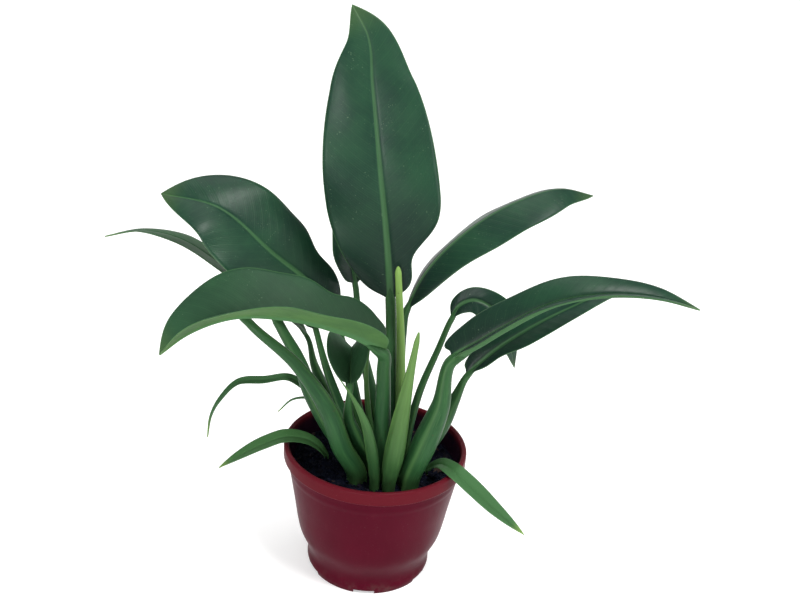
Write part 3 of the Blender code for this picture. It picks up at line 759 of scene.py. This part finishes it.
def pot_finish(settings):
    """Dark red plastic, a little cloudy and scuffed, with painted shade on the inner wall and
    painted light on the rim band.
    """
    finish = Finish("moulded_plastic", specular=0.03)
    place = finish.place()
    x, y, z = finish.parts(place)
    cloud = finish.noise(place, 22.0, 4.0, 0.6)
    grain = finish.noise(place, 1500.0, 2.0, 0.6)
    flow = finish.noise(finish.joined(x * 260.0, y * 260.0, z * 16.0), 1.0, 2.0, 0.5)
    scuffs = finish.noise(finish.joined(x * 60.0, y * 60.0, z * 900.0), 1.0, 4.0, 0.7, 0.8)
    scuffs = scuffs.band(0.60, 0.74) * cloud.band(0.45, 0.65)
    colour = finish.mix(cloud.band(0.3, 0.7) * 0.5, settings.body, dimmed(settings.body, 0.72))
    colour = finish.mix(flow.band(0.55, 0.85) * 0.18, colour, settings.worn)
    colour = finish.mix(scuffs * 0.30, colour, settings.worn)
    grime = finish.noise(place, 110.0, 5.0, 0.7).band(0.48, 0.66)
    radius = (x * x + y * y) ** 0.5
    # Painted light: the rolled rim band is tinted lighter, standing in for the light and sheen it
    # catches
    rim_foot = POT_HEIGHT - settings.rim_band
    rim = z.band(rim_foot - MM, rim_foot + MM)
    colour = finish.mix(rim * 0.75, colour, settings.rim)
    # Painted shade: the inward-facing wall from just under the rim down is painted near black,
    # mottled a little by the grime noise
    across, beside, _ = finish.parts(finish.facing())
    outward = (x * across + y * beside) / radius
    inside = outward.band(0.1, -0.3) * z.band(POT_HEIGHT - 0.001, POT_HEIGHT - 0.007)
    colour = finish.mix(inside * (grime * 0.15 + 0.82), colour, settings.inner)
    foot = z.band(0.016, 0.0)
    colour = finish.mix(foot * grime * 0.40, colour, settings.grime)
    flecks = finish.noise(place, 900.0, 0.0).band(0.79, 0.84)
    colour = finish.mix(flecks * 0.10, colour, settings.fleck)
    height = grain * 0.25 + flow * 0.35 + cloud * 0.5
    return finish.surface(colour=colour,
                          roughness=cloud * 0.14 + scuffs * 0.18 + grime * 0.05 + 0.265,
                          normal=finish.bump(height, 0.22, FINE_BUMP))


def soil_finish(settings, name, crumbs):
    """Dark damp mix; crumbs carry their own tint, the bed gets one from noise."""
    finish = Finish(name, specular=0.08)
    place = finish.place()
    clods = finish.noise(place, 190.0, 5.0, 0.7)
    grit = finish.noise(place, 1400.0, 3.0, 0.7)
    tone = finish.attribute("tint") if crumbs else finish.noise(place, 75.0, 2.0)
    colour = finish.mix(clods.band(0.35, 0.70), settings.damp, dimmed(settings.damp, 0.35))
    colour = finish.mix(tone.band(0.70, 0.95) * 0.8, colour, settings.bark)
    colour = finish.mix(tone.band(0.955, 0.975), colour, settings.fibre)
    colour = finish.mix(grit.band(0.60, 0.80) * 0.35, colour, settings.grit)
    return finish.surface(colour=colour, roughness=clods * 0.25 + 0.68,
                          normal=finish.bump(grit * 0.6 + clods, 0.7, SOIL_BUMP))


def floor_finish(settings):
    finish = Finish("studio_floor", specular=0.2)
    place = finish.place()
    mottle = finish.noise(place, 3.0, 4.0, 0.6)
    paper = finish.noise(place, 700.0, 2.0, 0.6)
    colour = finish.mix(mottle * 0.06, settings.floor, dimmed(settings.floor, 0.92))
    finish.shader.inputs["Emission Color"].default_value = (1.0, 1.0, 1.0, 1.0)
    finish.shader.inputs["Emission Strength"].default_value = settings.floor_glow
    return finish.surface(colour=colour, roughness=paper * 0.1 + 0.80,
                          normal=finish.bump(paper, 0.05, PAPER_BUMP))


# ---- lofted bodies ------------------------------------------------------------------
def loft(rings):
    """Points and faces of a closed body through rings of equal counts."""
    rows, count, _ = rings.shape
    points = rings.reshape(-1, 3)
    i, k = np.meshgrid(np.arange(rows - 1), np.arange(count), indexing="ij")
    a = (i * count + k).ravel()
    b = (i * count + (k + 1) % count).ravel()
    faces = [tuple(f) for f in np.stack([a, b, b + count, a + count], axis=1)]
    for base, turn in ((0, -1), ((rows - 1) * count, 1)):
        for k in range(count // 2 - 1):
            quad = (base + k, base + k + 1, base + count - 2 - k, base + count - 1 - k)
            faces.append(quad[::turn])
    corner = np.array([(f[0], f[1], f[2]) for f in faces] + [(f[0], f[2], f[3]) for f in faces])
    p = points[corner]
    volume = np.einsum("ij,ij->i", p[:, 0], np.cross(p[:, 1], p[:, 2])).sum()
    if volume < 0:
        faces = [f[::-1] for f in faces]
    return points, faces


def shares(count, gather):
    """0 to 1 with closer steps at both ends."""
    t = np.linspace(0.0, 1.0, count)
    return t - gather * np.sin(math.tau * t) / math.tau


def swollen_radius(thick, swell, t):
    foot, belly, neck = thick
    low = foot + (belly - foot) * smoothstep(t / swell)
    high = belly + (neck - belly) * smoothstep((t - swell) / (1.0 - swell))
    return np.where(t < swell, low, high) * MM


def carried_frames(places, headings, start, normal):
    """Normals carried along a route without twist, from the ring numbered start."""
    normals = np.zeros_like(places)
    normals[start] = normal
    for order, step in ((range(start + 1, len(places)), -1), (range(start - 1, -1, -1), 1)):
        for i in order:
            carried = normals[i + step]
            carried = carried - headings[i] * (carried @ headings[i])
            normals[i] = carried / np.linalg.norm(carried)
    return normals


def build_blade(node, leaf, shape, settings, material, rows):
    """A cupped blade with a grooved midrib, faint pillows between its veins and a keel."""
    along = shares(rows, BLADE_GATHER)
    u = np.linspace(-1.0, 1.0, BLADE_COLUMNS)
    across = np.sign(u) * np.abs(u) ** MIDRIB_GATHER
    grid_along, grid_across = np.meshgrid(along, across, indexing="ij")
    places, half = shape.surface(grid_along, grid_across)
    normals = grid_normals(places)
    lateral = half * grid_across
    off = np.abs(lateral)
    reach = np.abs(grid_across)
    run = shape.start + (shape.route.length() - shape.start) * grid_along
    rib = shape.neck * settings.rib * (1.0 - grid_along) ** RIB_TAPER + RIB_TIP
    middle = 1.0 - reach ** MARGIN_POWER
    thick = settings.edge + (settings.thickness - settings.edge) * middle
    pillow = PILLOW * np.sin(vein_lead(run, off) * math.tau / VEIN_SPACING)
    pillow *= smoothstep(off / PILLOW_START)
    pillow *= 1.0 - smoothstep((reach - PILLOW_END) / (1.0 - PILLOW_END))
    groove = GROOVE * rib * np.exp(-(off / (GROOVE_WIDTH * rib)) ** 2)
    groove *= smoothstep(grid_along * GROOVE_START)
    keel = KEEL * rib * np.exp(-(off / (KEEL_WIDTH * rib)) ** 2)
    top = places + normals * (thick / 2 + pillow - groove)[..., None]
    under = places - normals * (thick / 2 - pillow + keel)[..., None]
    rings = np.concatenate([top, under[:, ::-1]], axis=1)
    points, faces = loft(rings)
    margin = half * (1.0 - reach)

    def both(upper, lower):
        return np.concatenate([upper, lower[:, ::-1]], axis=1).ravel()

    upper_side = np.zeros_like(lateral)
    sheet = np.stack([both(lateral, lateral), both(run - shape.start, run - shape.start),
                      both(upper_side, upper_side + leaf.pale)], axis=-1)
    share = np.stack([both(grid_along, grid_along), both(margin, margin),
                      both(rib, rib)], axis=-1)
    mesh = mesh_from(node, points, faces, (("sheet", sheet), ("share", share),
                                           ("age", np.full(len(points), leaf.age))))
    finish_piece(mesh, material, node)


def build_tube(node, material, places, headings, normals, radii, section, along, rise,
               ages):
    """A swept body; section gives the radius share and ridge mask at (ring, angle)."""
    angles = np.linspace(-math.pi, math.pi, TUBE_SIDES, endpoint=False) + math.pi / TUBE_SIDES
    sides = np.cross(headings, normals)
    share, ridge = section(along[:, None], angles[None, :])
    r = radii[:, None] * share
    local_x = r * np.sin(angles)
    local_z = r * np.cos(angles)
    rings = (places[:, None] + sides[:, None] * local_x[..., None]
             + normals[:, None] * local_z[..., None])
    points, faces = loft(rings)

    def spread(values):
        return np.broadcast_to(values, local_x.shape).ravel()

    steps = np.linalg.norm(np.diff(places, axis=0), axis=1)
    run = np.concatenate([[0.0], np.cumsum(steps)])
    sheet = np.stack([local_x.ravel(), spread(run[:, None]), local_z.ravel()], axis=-1)
    shares_and_rise = np.stack([spread(along[:, None]), spread(ridge), spread(rise[:, None])],
                               axis=-1)
    mesh = mesh_from(node, points, faces, (("sheet", sheet), ("share", shares_and_rise),
                                           ("age", spread(ages[:, None]))))
    finish_piece(mesh, material, node)


def petiole_section(along, angle):
    """A stalk's section: a channel on the upper side between two ridges."""
    channel = 0.10 + 0.26 * (1.0 - smoothstep(along / 0.45))
    ridge = np.exp(-((np.abs(angle) - CHANNEL_RIDGE) / CHANNEL_RIDGE_WIDTH) ** 2)
    dip = np.exp(-(angle / CHANNEL_ANGLE) ** 2)
    lean = 0.05 * (1.0 - smoothstep(along / 0.5)) + 0.02
    return 1.0 - channel * dip + lean * ridge, ridge * (0.35 + 0.65 * (1.0 - along))


def rolled_section(along, angle):
    """A rolled leaf's section: one edge lies over the other, and the seam winds slowly."""
    turn = (angle + SEAM_TURN - SEAM_TWIST * along) / math.tau
    turn = turn - np.floor(turn)
    step = (np.exp(-((turn - 0.985) / SEAM_WIDTH) ** 2)
            + np.exp(-((turn + 0.015) / SEAM_WIDTH) ** 2))
    return SEAM_THIN + SEAM_STEP * turn, step


def build_stalk(leaf, route, neck, material):
    """A stalk from under the soil to its neck, and on under the blade as a thinning end."""
    reach = min(STALK_END, STALK_END_SHARE * (route.length() - neck))
    distance = np.concatenate([np.linspace(-STALK_SUNK, 0.0, SUNK_RINGS, endpoint=False),
                               np.linspace(0.0, neck, STALK_RINGS),
                               neck + reach * np.linspace(0.08, 1.0, NECK_RINGS)])
    start = int(np.argmin(np.abs(distance - neck)))
    places = route.at(distance)
    headings = route.heading(distance)
    face = np.array(leaf.face[0], float)
    side = unit(np.cross(headings[start], face))
    normals = carried_frames(places, headings, start, unit(np.cross(side, headings[start])))
    along = np.clip(distance / neck, 0.0, 1.0)
    radii = swollen_radius(leaf.thick, leaf.swell, along)
    past = np.clip((distance - neck) / reach, 0.0, 1.0)
    radii = radii * (1.0 - past) ** STALK_END_TAPER + TIP_RADIUS
    sink = smoothstep((distance - neck + SINK_START) / (SINK_START + 0.5 * reach))
    places = places - normals * (sink * SINK * leaf.thick[2] * MM)[:, None]
    build_tube("stalk_" + leaf.name, material, places, headings, normals, radii,
               petiole_section, along, np.clip(distance, 0.0, None), np.zeros_like(along))


def make_leaves(settings, stalks):
    blade_material = leaf_finish(settings, "waxy_leaf")
    stalk_material = stalk_finish(stalks, "smooth_stalk")
    for leaf in LEAVES:
        stem = rooted_route(leaf.stalk)
        route = Route(stem + [plant_point(p) for p in leaf.blade])
        neck = route.length_to(len(stem) - 1)
        build_stalk(leaf, route, neck, stalk_material)
        shape = BladeShape(route, neck + BLADE_START, leaf, leaf.width * MM,
                           leaf.thick[2] * MM)
        build_blade("blade_" + leaf.name, leaf, shape, settings, blade_material, BLADE_ROWS)


# ---- pot and soil -------------------------------------------------------------------
def wall_outline(settings):
    """Radius and height of the pot's outer wall, foot to rim."""
    top = POT_HEIGHT - settings.rim_band
    ridge = top - RIDGE_DROP
    shoulder = RIM_RADIUS - SHOULDER_STEP
    slant = (shoulder - BELLY_RADIUS) / (top - BELLY_HEIGHT)
    middle = (ridge + BELLY_HEIGHT) / 2
    upper = [(shoulder - slant * (top - height), height) for height in (middle, ridge, top)]
    route = Route([(radius, 0, height) for radius, height in [*FOOT_PROFILE, *upper]])
    return route.at(np.linspace(0.0, route.length(), WALL_STEPS))[:, [0, 2]]


def arc(centre, radius, start, stop, steps):
    angles = np.radians(np.linspace(start, stop, steps))
    return [(centre[0] + radius * math.cos(a), centre[1] + radius * math.sin(a)) for a in angles]


def turned(name, profile):
    """A closed body turned about Z from (radius, height) points that start and end on it."""
    mesh = bpy.data.meshes.new(name)
    points = [(r, 0.0, z) for r, z in profile]
    mesh.from_pydata(points, [(i, i + 1) for i in range(len(points) - 1)], [])
    piece = add_object(name, mesh)
    screw = piece.modifiers.new("turn", "SCREW")
    screw.axis = "Z"
    screw.steps = POT_SEGMENTS
    screw.render_steps = POT_SEGMENTS
    screw.use_merge_vertices = True
    screw.merge_threshold = 0.00001
    return piece


def plain_mesh(piece, name):
    """The evaluated shape of a piece as a mesh of its own; the piece itself goes."""
    bpy.context.view_layer.update()
    graph = bpy.context.evaluated_depsgraph_get()
    mesh = bpy.data.meshes.new_from_object(piece.evaluated_get(graph))
    mesh.name = name
    bpy.data.objects.remove(piece, do_unlink=True)
    return mesh


def drain_cutter(settings):
    """Blocks around the foot, the first one at the front, in the shape of the drain slots."""
    corners, faces = [], []
    for i in range(DRAIN_COUNT):
        turn = Matrix.Rotation(math.tau * i / DRAIN_COUNT - math.pi / 2, 3, "Z")
        base = len(corners)
        for x in DRAIN_REACH:
            for y in (-DRAIN_WIDTH / 2, DRAIN_WIDTH / 2):
                for z in (-MM, settings.floor + DRAIN_RISE):
                    corners.append(tuple(turn @ Vector((x, y, z))))
        for quad in BOX_FACES:
            faces.append(tuple(base + q for q in quad))
    mesh = bpy.data.meshes.new("drain_cutter")
    mesh.from_pydata(corners, [], faces)
    return add_object("drain_cutter", mesh)


def make_pot(settings):
    outline = wall_outline(settings)
    top = POT_HEIGHT - settings.rim_band
    radii, heights = outline[:, 0], outline[:, 1]
    bead = RIDGE_DEPTH * np.exp(-((heights - (top - RIDGE_DROP)) / RIDGE_WIDTH) ** 2)
    outside = np.stack([radii + bead, heights], axis=-1)
    inside = [(np.interp(z, heights, radii) - settings.wall, z)
              for z in np.linspace(settings.floor + FLOOR_CORNER, top, INNER_STEPS)]
    round_height = POT_HEIGHT - RIM_ROUNDING
    inner = RIM_RADIUS - settings.lip_width + RIM_ROUNDING
    rim = (arc((inner, round_height), RIM_ROUNDING, 180, 90, 8)
           + arc((RIM_RADIUS - RIM_ROUNDING, round_height), RIM_ROUNDING, 90, 0, 8)
           + arc((RIM_RADIUS - CURL_RADIUS, top + CURL_RISE), CURL_RADIUS, 0, -85, 7))
    profile = [(0.0, settings.floor), (FLOOR_RADIUS, settings.floor), *inside, *rim,
               *[tuple(p) for p in outside[::-1]], *UNDER_PROFILE]
    pot = turned("pot_turned", profile)
    cutter = drain_cutter(settings)
    boolean = pot.modifiers.new("drains", "BOOLEAN")
    boolean.operation = "DIFFERENCE"
    boolean.solver = "EXACT"
    boolean.object = cutter
    mesh = plain_mesh(pot, "fine_pot")
    bpy.data.objects.remove(cutter, do_unlink=True)
    mesh.polygons.foreach_set("use_smooth", [True] * len(mesh.polygons))
    mesh.set_sharp_from_angle(angle=SHARP_ANGLE)
    finish_piece(mesh, pot_finish(settings), "pot")


def soil_height(x, y):
    """How far the soil's surface stands over its level at a place, in metres."""
    low = (np.sin(x * 118 + 1.3) * np.cos(y * 97 - 0.4) * 0.0011
           + np.sin(x * 231 - y * 187 + 2.0) * 0.0007)
    fine = (np.sin(x * 640 + np.sin(y * 410) * 2.0) * np.cos(y * 590 + x * 210) * 0.00055
            + np.sin(x * 1450 + y * 900) * np.cos(y * 1310 - x * 520) * 0.00035)
    heap = HEAP_RISE * np.exp(-(x ** 2 + (y - HEAP_PLACE) ** 2) / HEAP_WIDTH ** 2)
    return low + fine + heap


def soil_point(x, y, calm=1.0):
    return (x, y, SOIL_TOP + float(soil_height(x, y)) * calm)


def make_soil(settings, pot):
    """The soil fills the pot; its surface calms down towards the wall."""
    outline = wall_outline(pot)

    def wall_at(z):
        return np.interp(z, outline[:, 1], outline[:, 0]) - pot.wall - GAP

    top_radius = wall_at(SOIL_TOP)
    turns = np.linspace(0.0, math.tau, SOIL_SEGMENTS, endpoint=False)
    points = [soil_point(0.0, 0.0)]
    for r in top_radius * np.linspace(0.0, 1.0, SOIL_RINGS)[1:]:
        calm = 1.0 - CALM * smoothstep((r / top_radius - CALM_START) / (1.0 - CALM_START))
        points += [soil_point(r * math.cos(a), r * math.sin(a), calm) for a in turns]
    depths = np.linspace(SOIL_TOP - SOIL_SHOULDER, SOIL_LOW[2], SOIL_DEPTH_RINGS)
    for z in depths:
        r = wall_at(z)
        points += [(r * math.cos(a), r * math.sin(a), z) for a in turns]
    faces = disc_faces(SOIL_RINGS - 1 + SOIL_DEPTH_RINGS, SOIL_SEGMENTS)
    bottom = len(points)
    last = bottom - SOIL_SEGMENTS
    points.append((0.0, 0.0, SOIL_LOW[2]))
    faces += [(bottom, last + (k + 1) % SOIL_SEGMENTS, last + k) for k in range(SOIL_SEGMENTS)]
    mesh = mesh_from("fine_soil", points, faces)
    finish_piece(mesh, soil_finish(settings, "potting_mix", False), "soil")
    make_crumbs(settings, top_radius)


def crumb_tree(material):
    """Crumbs scattered over a surface, each turned, squashed and tinted at random."""
    tree = bpy.data.node_groups.new("scattered_crumbs", "GeometryNodeTree")
    sockets = {}
    for label, kind in (("Surface", "NodeSocketGeometry"), ("Density", "NodeSocketFloat"),
                        ("Crumb size", "NodeSocketFloat"), ("Seed", "NodeSocketInt")):
        sockets[label] = tree.interface.new_socket(label, in_out="INPUT", socket_type=kind)
    tree.interface.new_socket("Crumbs", in_out="OUTPUT", socket_type="NodeSocketGeometry")

    def node(kind, settings=None, inputs=None):
        made = tree.nodes.new(kind)
        for key, value in (settings or {}).items():
            setattr(made, key, value)
        for key, value in (inputs or {}).items():
            if isinstance(value, bpy.types.NodeSocket):
                tree.links.new(value, made.inputs[key])
            else:
                made.inputs[key].default_value = value
        return made

    group = node("NodeGroupInput")
    points = node("GeometryNodeDistributePointsOnFaces", None,
                  {"Mesh": group.outputs["Surface"], "Density": group.outputs["Density"],
                   "Seed": group.outputs["Seed"]})
    ball = node("GeometryNodeMeshIcoSphere", None, {"Radius": 1.0, "Subdivisions": 2})
    lumps = node("ShaderNodeTexNoise", None, {"Scale": CRUMB_NOISE, "Detail": 1.0})
    offset = node("ShaderNodeVectorMath", {"operation": "SUBTRACT"},
                  {0: lumps.outputs["Color"], 1: (0.5, 0.5, 0.5)})
    push = node("ShaderNodeVectorMath", {"operation": "SCALE"},
                {0: offset.outputs[0], "Scale": CRUMB_PUSH})
    lumpy = node("GeometryNodeSetPosition", None,
                 {"Geometry": ball.outputs["Mesh"], "Offset": push.outputs[0]})
    turn = node("FunctionNodeRandomValue", {"data_type": "FLOAT_VECTOR"},
                {0: (0.0, 0.0, 0.0), 1: (math.tau, math.tau, math.tau), "Seed": TURN_SEED})
    pick = node("FunctionNodeRandomValue", {"data_type": "FLOAT"},
                {2: 0.0, 3: 1.0, "Seed": SIZE_SEED})
    cube = node("ShaderNodeMath", {"operation": "POWER"}, {0: pick.outputs[1], 1: CRUMB_POWER})
    spread = node("ShaderNodeMath", {"operation": "MULTIPLY_ADD"},
                  {0: cube.outputs[0], 1: CRUMB_RANGE, 2: CRUMB_LEAST})
    scaled = node("ShaderNodeMath", {"operation": "MULTIPLY"},
                  {0: spread.outputs[0], 1: group.outputs["Crumb size"]})
    shape = node("FunctionNodeRandomValue", {"data_type": "FLOAT_VECTOR"},
                 {0: CRUMB_SLIM, 1: CRUMB_FULL, "Seed": SHAPE_SEED})
    scale = node("ShaderNodeVectorMath", {"operation": "SCALE"},
                 {0: shape.outputs[0], "Scale": scaled.outputs[0]})
    tint = node("FunctionNodeRandomValue", {"data_type": "FLOAT"},
                {2: 0.0, 3: 1.0, "Seed": TINT_SEED})
    crumbs = node("GeometryNodeInstanceOnPoints", None,
                  {"Points": points.outputs["Points"], "Instance": lumpy.outputs["Geometry"],
                   "Rotation": turn.outputs[0], "Scale": scale.outputs[0]})
    tinted = node("GeometryNodeStoreNamedAttribute",
                  {"data_type": "FLOAT", "domain": "INSTANCE"},
                  {"Geometry": crumbs.outputs["Instances"], "Name": "tint",
                   "Value": tint.outputs[1]})
    real = node("GeometryNodeRealizeInstances", None, {"Geometry": tinted.outputs["Geometry"]})
    smooth = node("GeometryNodeSetShadeSmooth", None,
                  {"Geometry": real.outputs["Geometry"], "Shade Smooth": False})
    painted = node("GeometryNodeSetMaterial", None,
                   {"Geometry": smooth.outputs["Geometry"], "Material": material})
    node("NodeGroupOutput", None, {"Crumbs": painted.outputs["Geometry"]})
    return tree, sockets


def make_crumbs(settings, radius):
    """Loose crumbs and bark bits on a coarser copy of the soil's surface."""
    material = soil_finish(settings, "loose_crumbs", True)
    tree, sockets = crumb_tree(material)
    points = [soil_point(0.0, 0.0)]
    for i in range(1, BED_RINGS + 1):
        r = (radius - BED_CLEAR) * i / BED_RINGS
        for k in range(BED_SEGMENTS):
            a = math.tau * k / BED_SEGMENTS
            points.append(soil_point(r * math.cos(a), r * math.sin(a)))
    bed = add_object("crumb_bed", mesh_from("crumb_bed", points,
                                            disc_faces(BED_RINGS, BED_SEGMENTS)))
    scatter = bed.modifiers.new("scatter", "NODES")
    scatter.node_group = tree
    scatter[sockets["Density"].identifier] = settings.density
    scatter[sockets["Crumb size"].identifier] = settings.crumb
    scatter[sockets["Seed"].identifier] = settings.seed
    crumbs = plain_mesh(bed, "soil_crumbs")
    finish_piece(crumbs, material, "soil_crumbs")


# ---- straps and spears --------------------------------------------------------------
def make_straps(settings):
    material = leaf_finish(settings, "young_leaf")
    for strap in STRAPS:
        inside = [np.array(p) for p in rooted_route(strap.inside)]
        outside = [np.array(rim_point(*p)) for p in strap.outside]
        if strap.crest:
            share, lift = strap.crest
            crest = inside[-1] + (outside[0] - inside[-1]) * share
            inside.append(crest + np.array((0.0, 0.0, lift * MM)))
        shape = BladeShape(Route(inside + outside), -STRAP_SUNK, strap, strap.width * MM,
                           STRAP_NECK)
        build_blade(strap.name, strap, shape, settings, material, STRAP_ROWS)


def make_spears(settings):
    material = stalk_finish(settings, "new_growth")
    for spear in SPEARS:
        route = Route(rooted_route(spear.route))
        distance = np.concatenate([np.linspace(-STALK_SUNK, 0.0, SUNK_RINGS, endpoint=False),
                                   route.length() * shares(SPEAR_RINGS, SPEAR_GATHER)])
        places = route.at(distance)
        headings = route.heading(distance)
        side = unit(np.cross(headings[0], SEAM_LOOK))
        normals = carried_frames(places, headings, 0, unit(np.cross(side, headings[0])))
        along = np.clip(distance / route.length(), 0.0, 1.0)
        radii = swollen_radius(spear.thick, spear.belly, along)
        radii = radii * np.clip((1.0 - along) / spear.fade, 0.0, 1.0) ** 0.5 + SPEAR_TIP
        foot, tip = spear.ages
        build_tube(spear.name, material, places, headings, normals, radii,
                   rolled_section, along, np.clip(distance, 0.0, None),
                   foot + (tip - foot) * along)


# ---- stage --------------------------------------------------------------------------
def hang_lamp(lamp):
    light = bpy.data.lights.new(lamp.name, "AREA")
    light.shape = "RECTANGLE"
    light.size, light.size_y = lamp.size
    light.energy = lamp.power
    light.color = lamp.shade
    hung = add_object(lamp.name, light)
    hung.location = lamp.place
    beam = Vector(lamp.aim) - Vector(lamp.place)
    hung.rotation_euler = beam.to_track_quat("-Z", "Y").to_euler()


def make_stage(settings):
    """A floor that curves up into a wall all round, the lamps and the camera."""
    bend = FLOOR_FLAT[-1]
    profile = [(r, 0.0) for r in FLOOR_FLAT]
    profile += [(bend + FLOOR_BEND * math.sin(a), FLOOR_BEND * (1.0 - math.cos(a)))
                for a in np.linspace(0.1, math.pi / 2, 12)]
    profile += [(bend + FLOOR_BEND, height) for height in WALL_HEIGHTS]
    points = [(0.0, 0.0, 0.0)]
    for r, z in profile:
        for k in range(FLOOR_SEGMENTS):
            a = math.tau * k / FLOOR_SEGMENTS
            points.append((r * math.cos(a), r * math.sin(a), z))
    mesh = mesh_from("floor", points, disc_faces(len(profile), FLOOR_SEGMENTS))
    mesh.materials.append(floor_finish(settings))
    floor = add_object("floor", mesh)

    world = bpy.data.worlds.new("studio")
    world.use_nodes = True
    back = world.node_tree.nodes["Background"]
    back.inputs["Color"].default_value = (1.0, 1.0, 1.0, 1.0)
    back.inputs["Strength"].default_value = settings.world_glow
    bpy.context.scene.world = world
    for lamp in LAMPS:
        hang_lamp(lamp)

    camera = bpy.data.cameras.new("camera")
    camera.lens = settings.lens
    camera.sensor_width = SENSOR_WIDTH
    eye = add_object("camera", camera)
    elevation, tilt = settings.elevation, settings.tilt
    back_axis = Vector((0.0, -math.cos(elevation), math.sin(elevation)))
    right = Vector((1.0, 0.0, 0.0))
    up = back_axis.cross(right)
    x_axis = right * math.cos(tilt) + up * math.sin(tilt)
    y_axis = up * math.cos(tilt) - right * math.sin(tilt)
    look = Vector((settings.look_side, 0.0, settings.look_height))
    turn = Matrix((x_axis, y_axis, back_axis)).transposed()
    eye.matrix_world = Matrix.Translation(look + back_axis * settings.distance) @ turn.to_4x4()
    bpy.context.scene.camera = eye
    bpy.context.scene.view_settings.view_transform = "Standard"


# ---- operators and panel ------------------------------------------------------------
class PLANT_OT_pot(bpy.types.Operator):
    """Turn the pot and cut its drain slots"""
    bl_idname = "plant.pot"
    bl_label = "Pot"

    def execute(self, context):
        make_pot(context.scene.plant_pot)
        return {"FINISHED"}


class PLANT_OT_soil(bpy.types.Operator):
    """Fill the pot with soil and scatter its crumbs"""
    bl_idname = "plant.soil"
    bl_label = "Soil"

    def execute(self, context):
        make_soil(context.scene.plant_soil, context.scene.plant_pot)
        return {"FINISHED"}


class PLANT_OT_leaves(bpy.types.Operator):
    """Grow the leaves, each a stalk and a blade"""
    bl_idname = "plant.leaves"
    bl_label = "Leaves"

    def execute(self, context):
        make_leaves(context.scene.plant_leaf, context.scene.plant_stalk)
        return {"FINISHED"}


class PLANT_OT_straps(bpy.types.Operator):
    """Grow the narrow young leaves that arch over the rim"""
    bl_idname = "plant.straps"
    bl_label = "Strap leaves"

    def execute(self, context):
        make_straps(context.scene.plant_leaf)
        return {"FINISHED"}


class PLANT_OT_spears(bpy.types.Operator):
    """Grow the rolled new leaves and sheaths"""
    bl_idname = "plant.spears"
    bl_label = "Rolled leaves"

    def execute(self, context):
        make_spears(context.scene.plant_stalk)
        return {"FINISHED"}


class PLANT_OT_stage(bpy.types.Operator):
    """Set the floor, the lights and the camera"""
    bl_idname = "plant.stage"
    bl_label = "Stage"

    def execute(self, context):
        make_stage(context.scene.plant_stage)
        return {"FINISHED"}


OPERATORS = (PLANT_OT_pot, PLANT_OT_soil, PLANT_OT_leaves, PLANT_OT_straps, PLANT_OT_spears,
             PLANT_OT_stage)


class PLANT_PT_panel(bpy.types.Panel):
    """Lists the pieces of the plant"""
    bl_idname = "PLANT_PT_panel"
    bl_label = "Potted philodendron"
    bl_space_type = "VIEW_3D"
    bl_region_type = "UI"
    bl_category = "Plant"

    def draw(self, context):
        for operator in OPERATORS:
            self.layout.operator(operator.bl_idname)


SETTINGS = (("plant_pot", PotSettings), ("plant_soil", SoilSettings),
            ("plant_leaf", LeafSettings), ("plant_stalk", StalkSettings),
            ("plant_stage", StageSettings))


def register():
    for name, group in SETTINGS:
        bpy.utils.register_class(group)
        setattr(bpy.types.Scene, name, PointerProperty(type=group))
    for part in (*OPERATORS, PLANT_PT_panel):
        bpy.utils.register_class(part)


def unregister():
    for part in reversed((*OPERATORS, PLANT_PT_panel)):
        bpy.utils.unregister_class(part)
    for name, group in reversed(SETTINGS):
        delattr(bpy.types.Scene, name)
        bpy.utils.unregister_class(group)


def main():
    register()
    for operator in OPERATORS:
        group, action = operator.bl_idname.split(".")
        getattr(getattr(bpy.ops, group), action)()


if __name__ == "__main__":
    main()
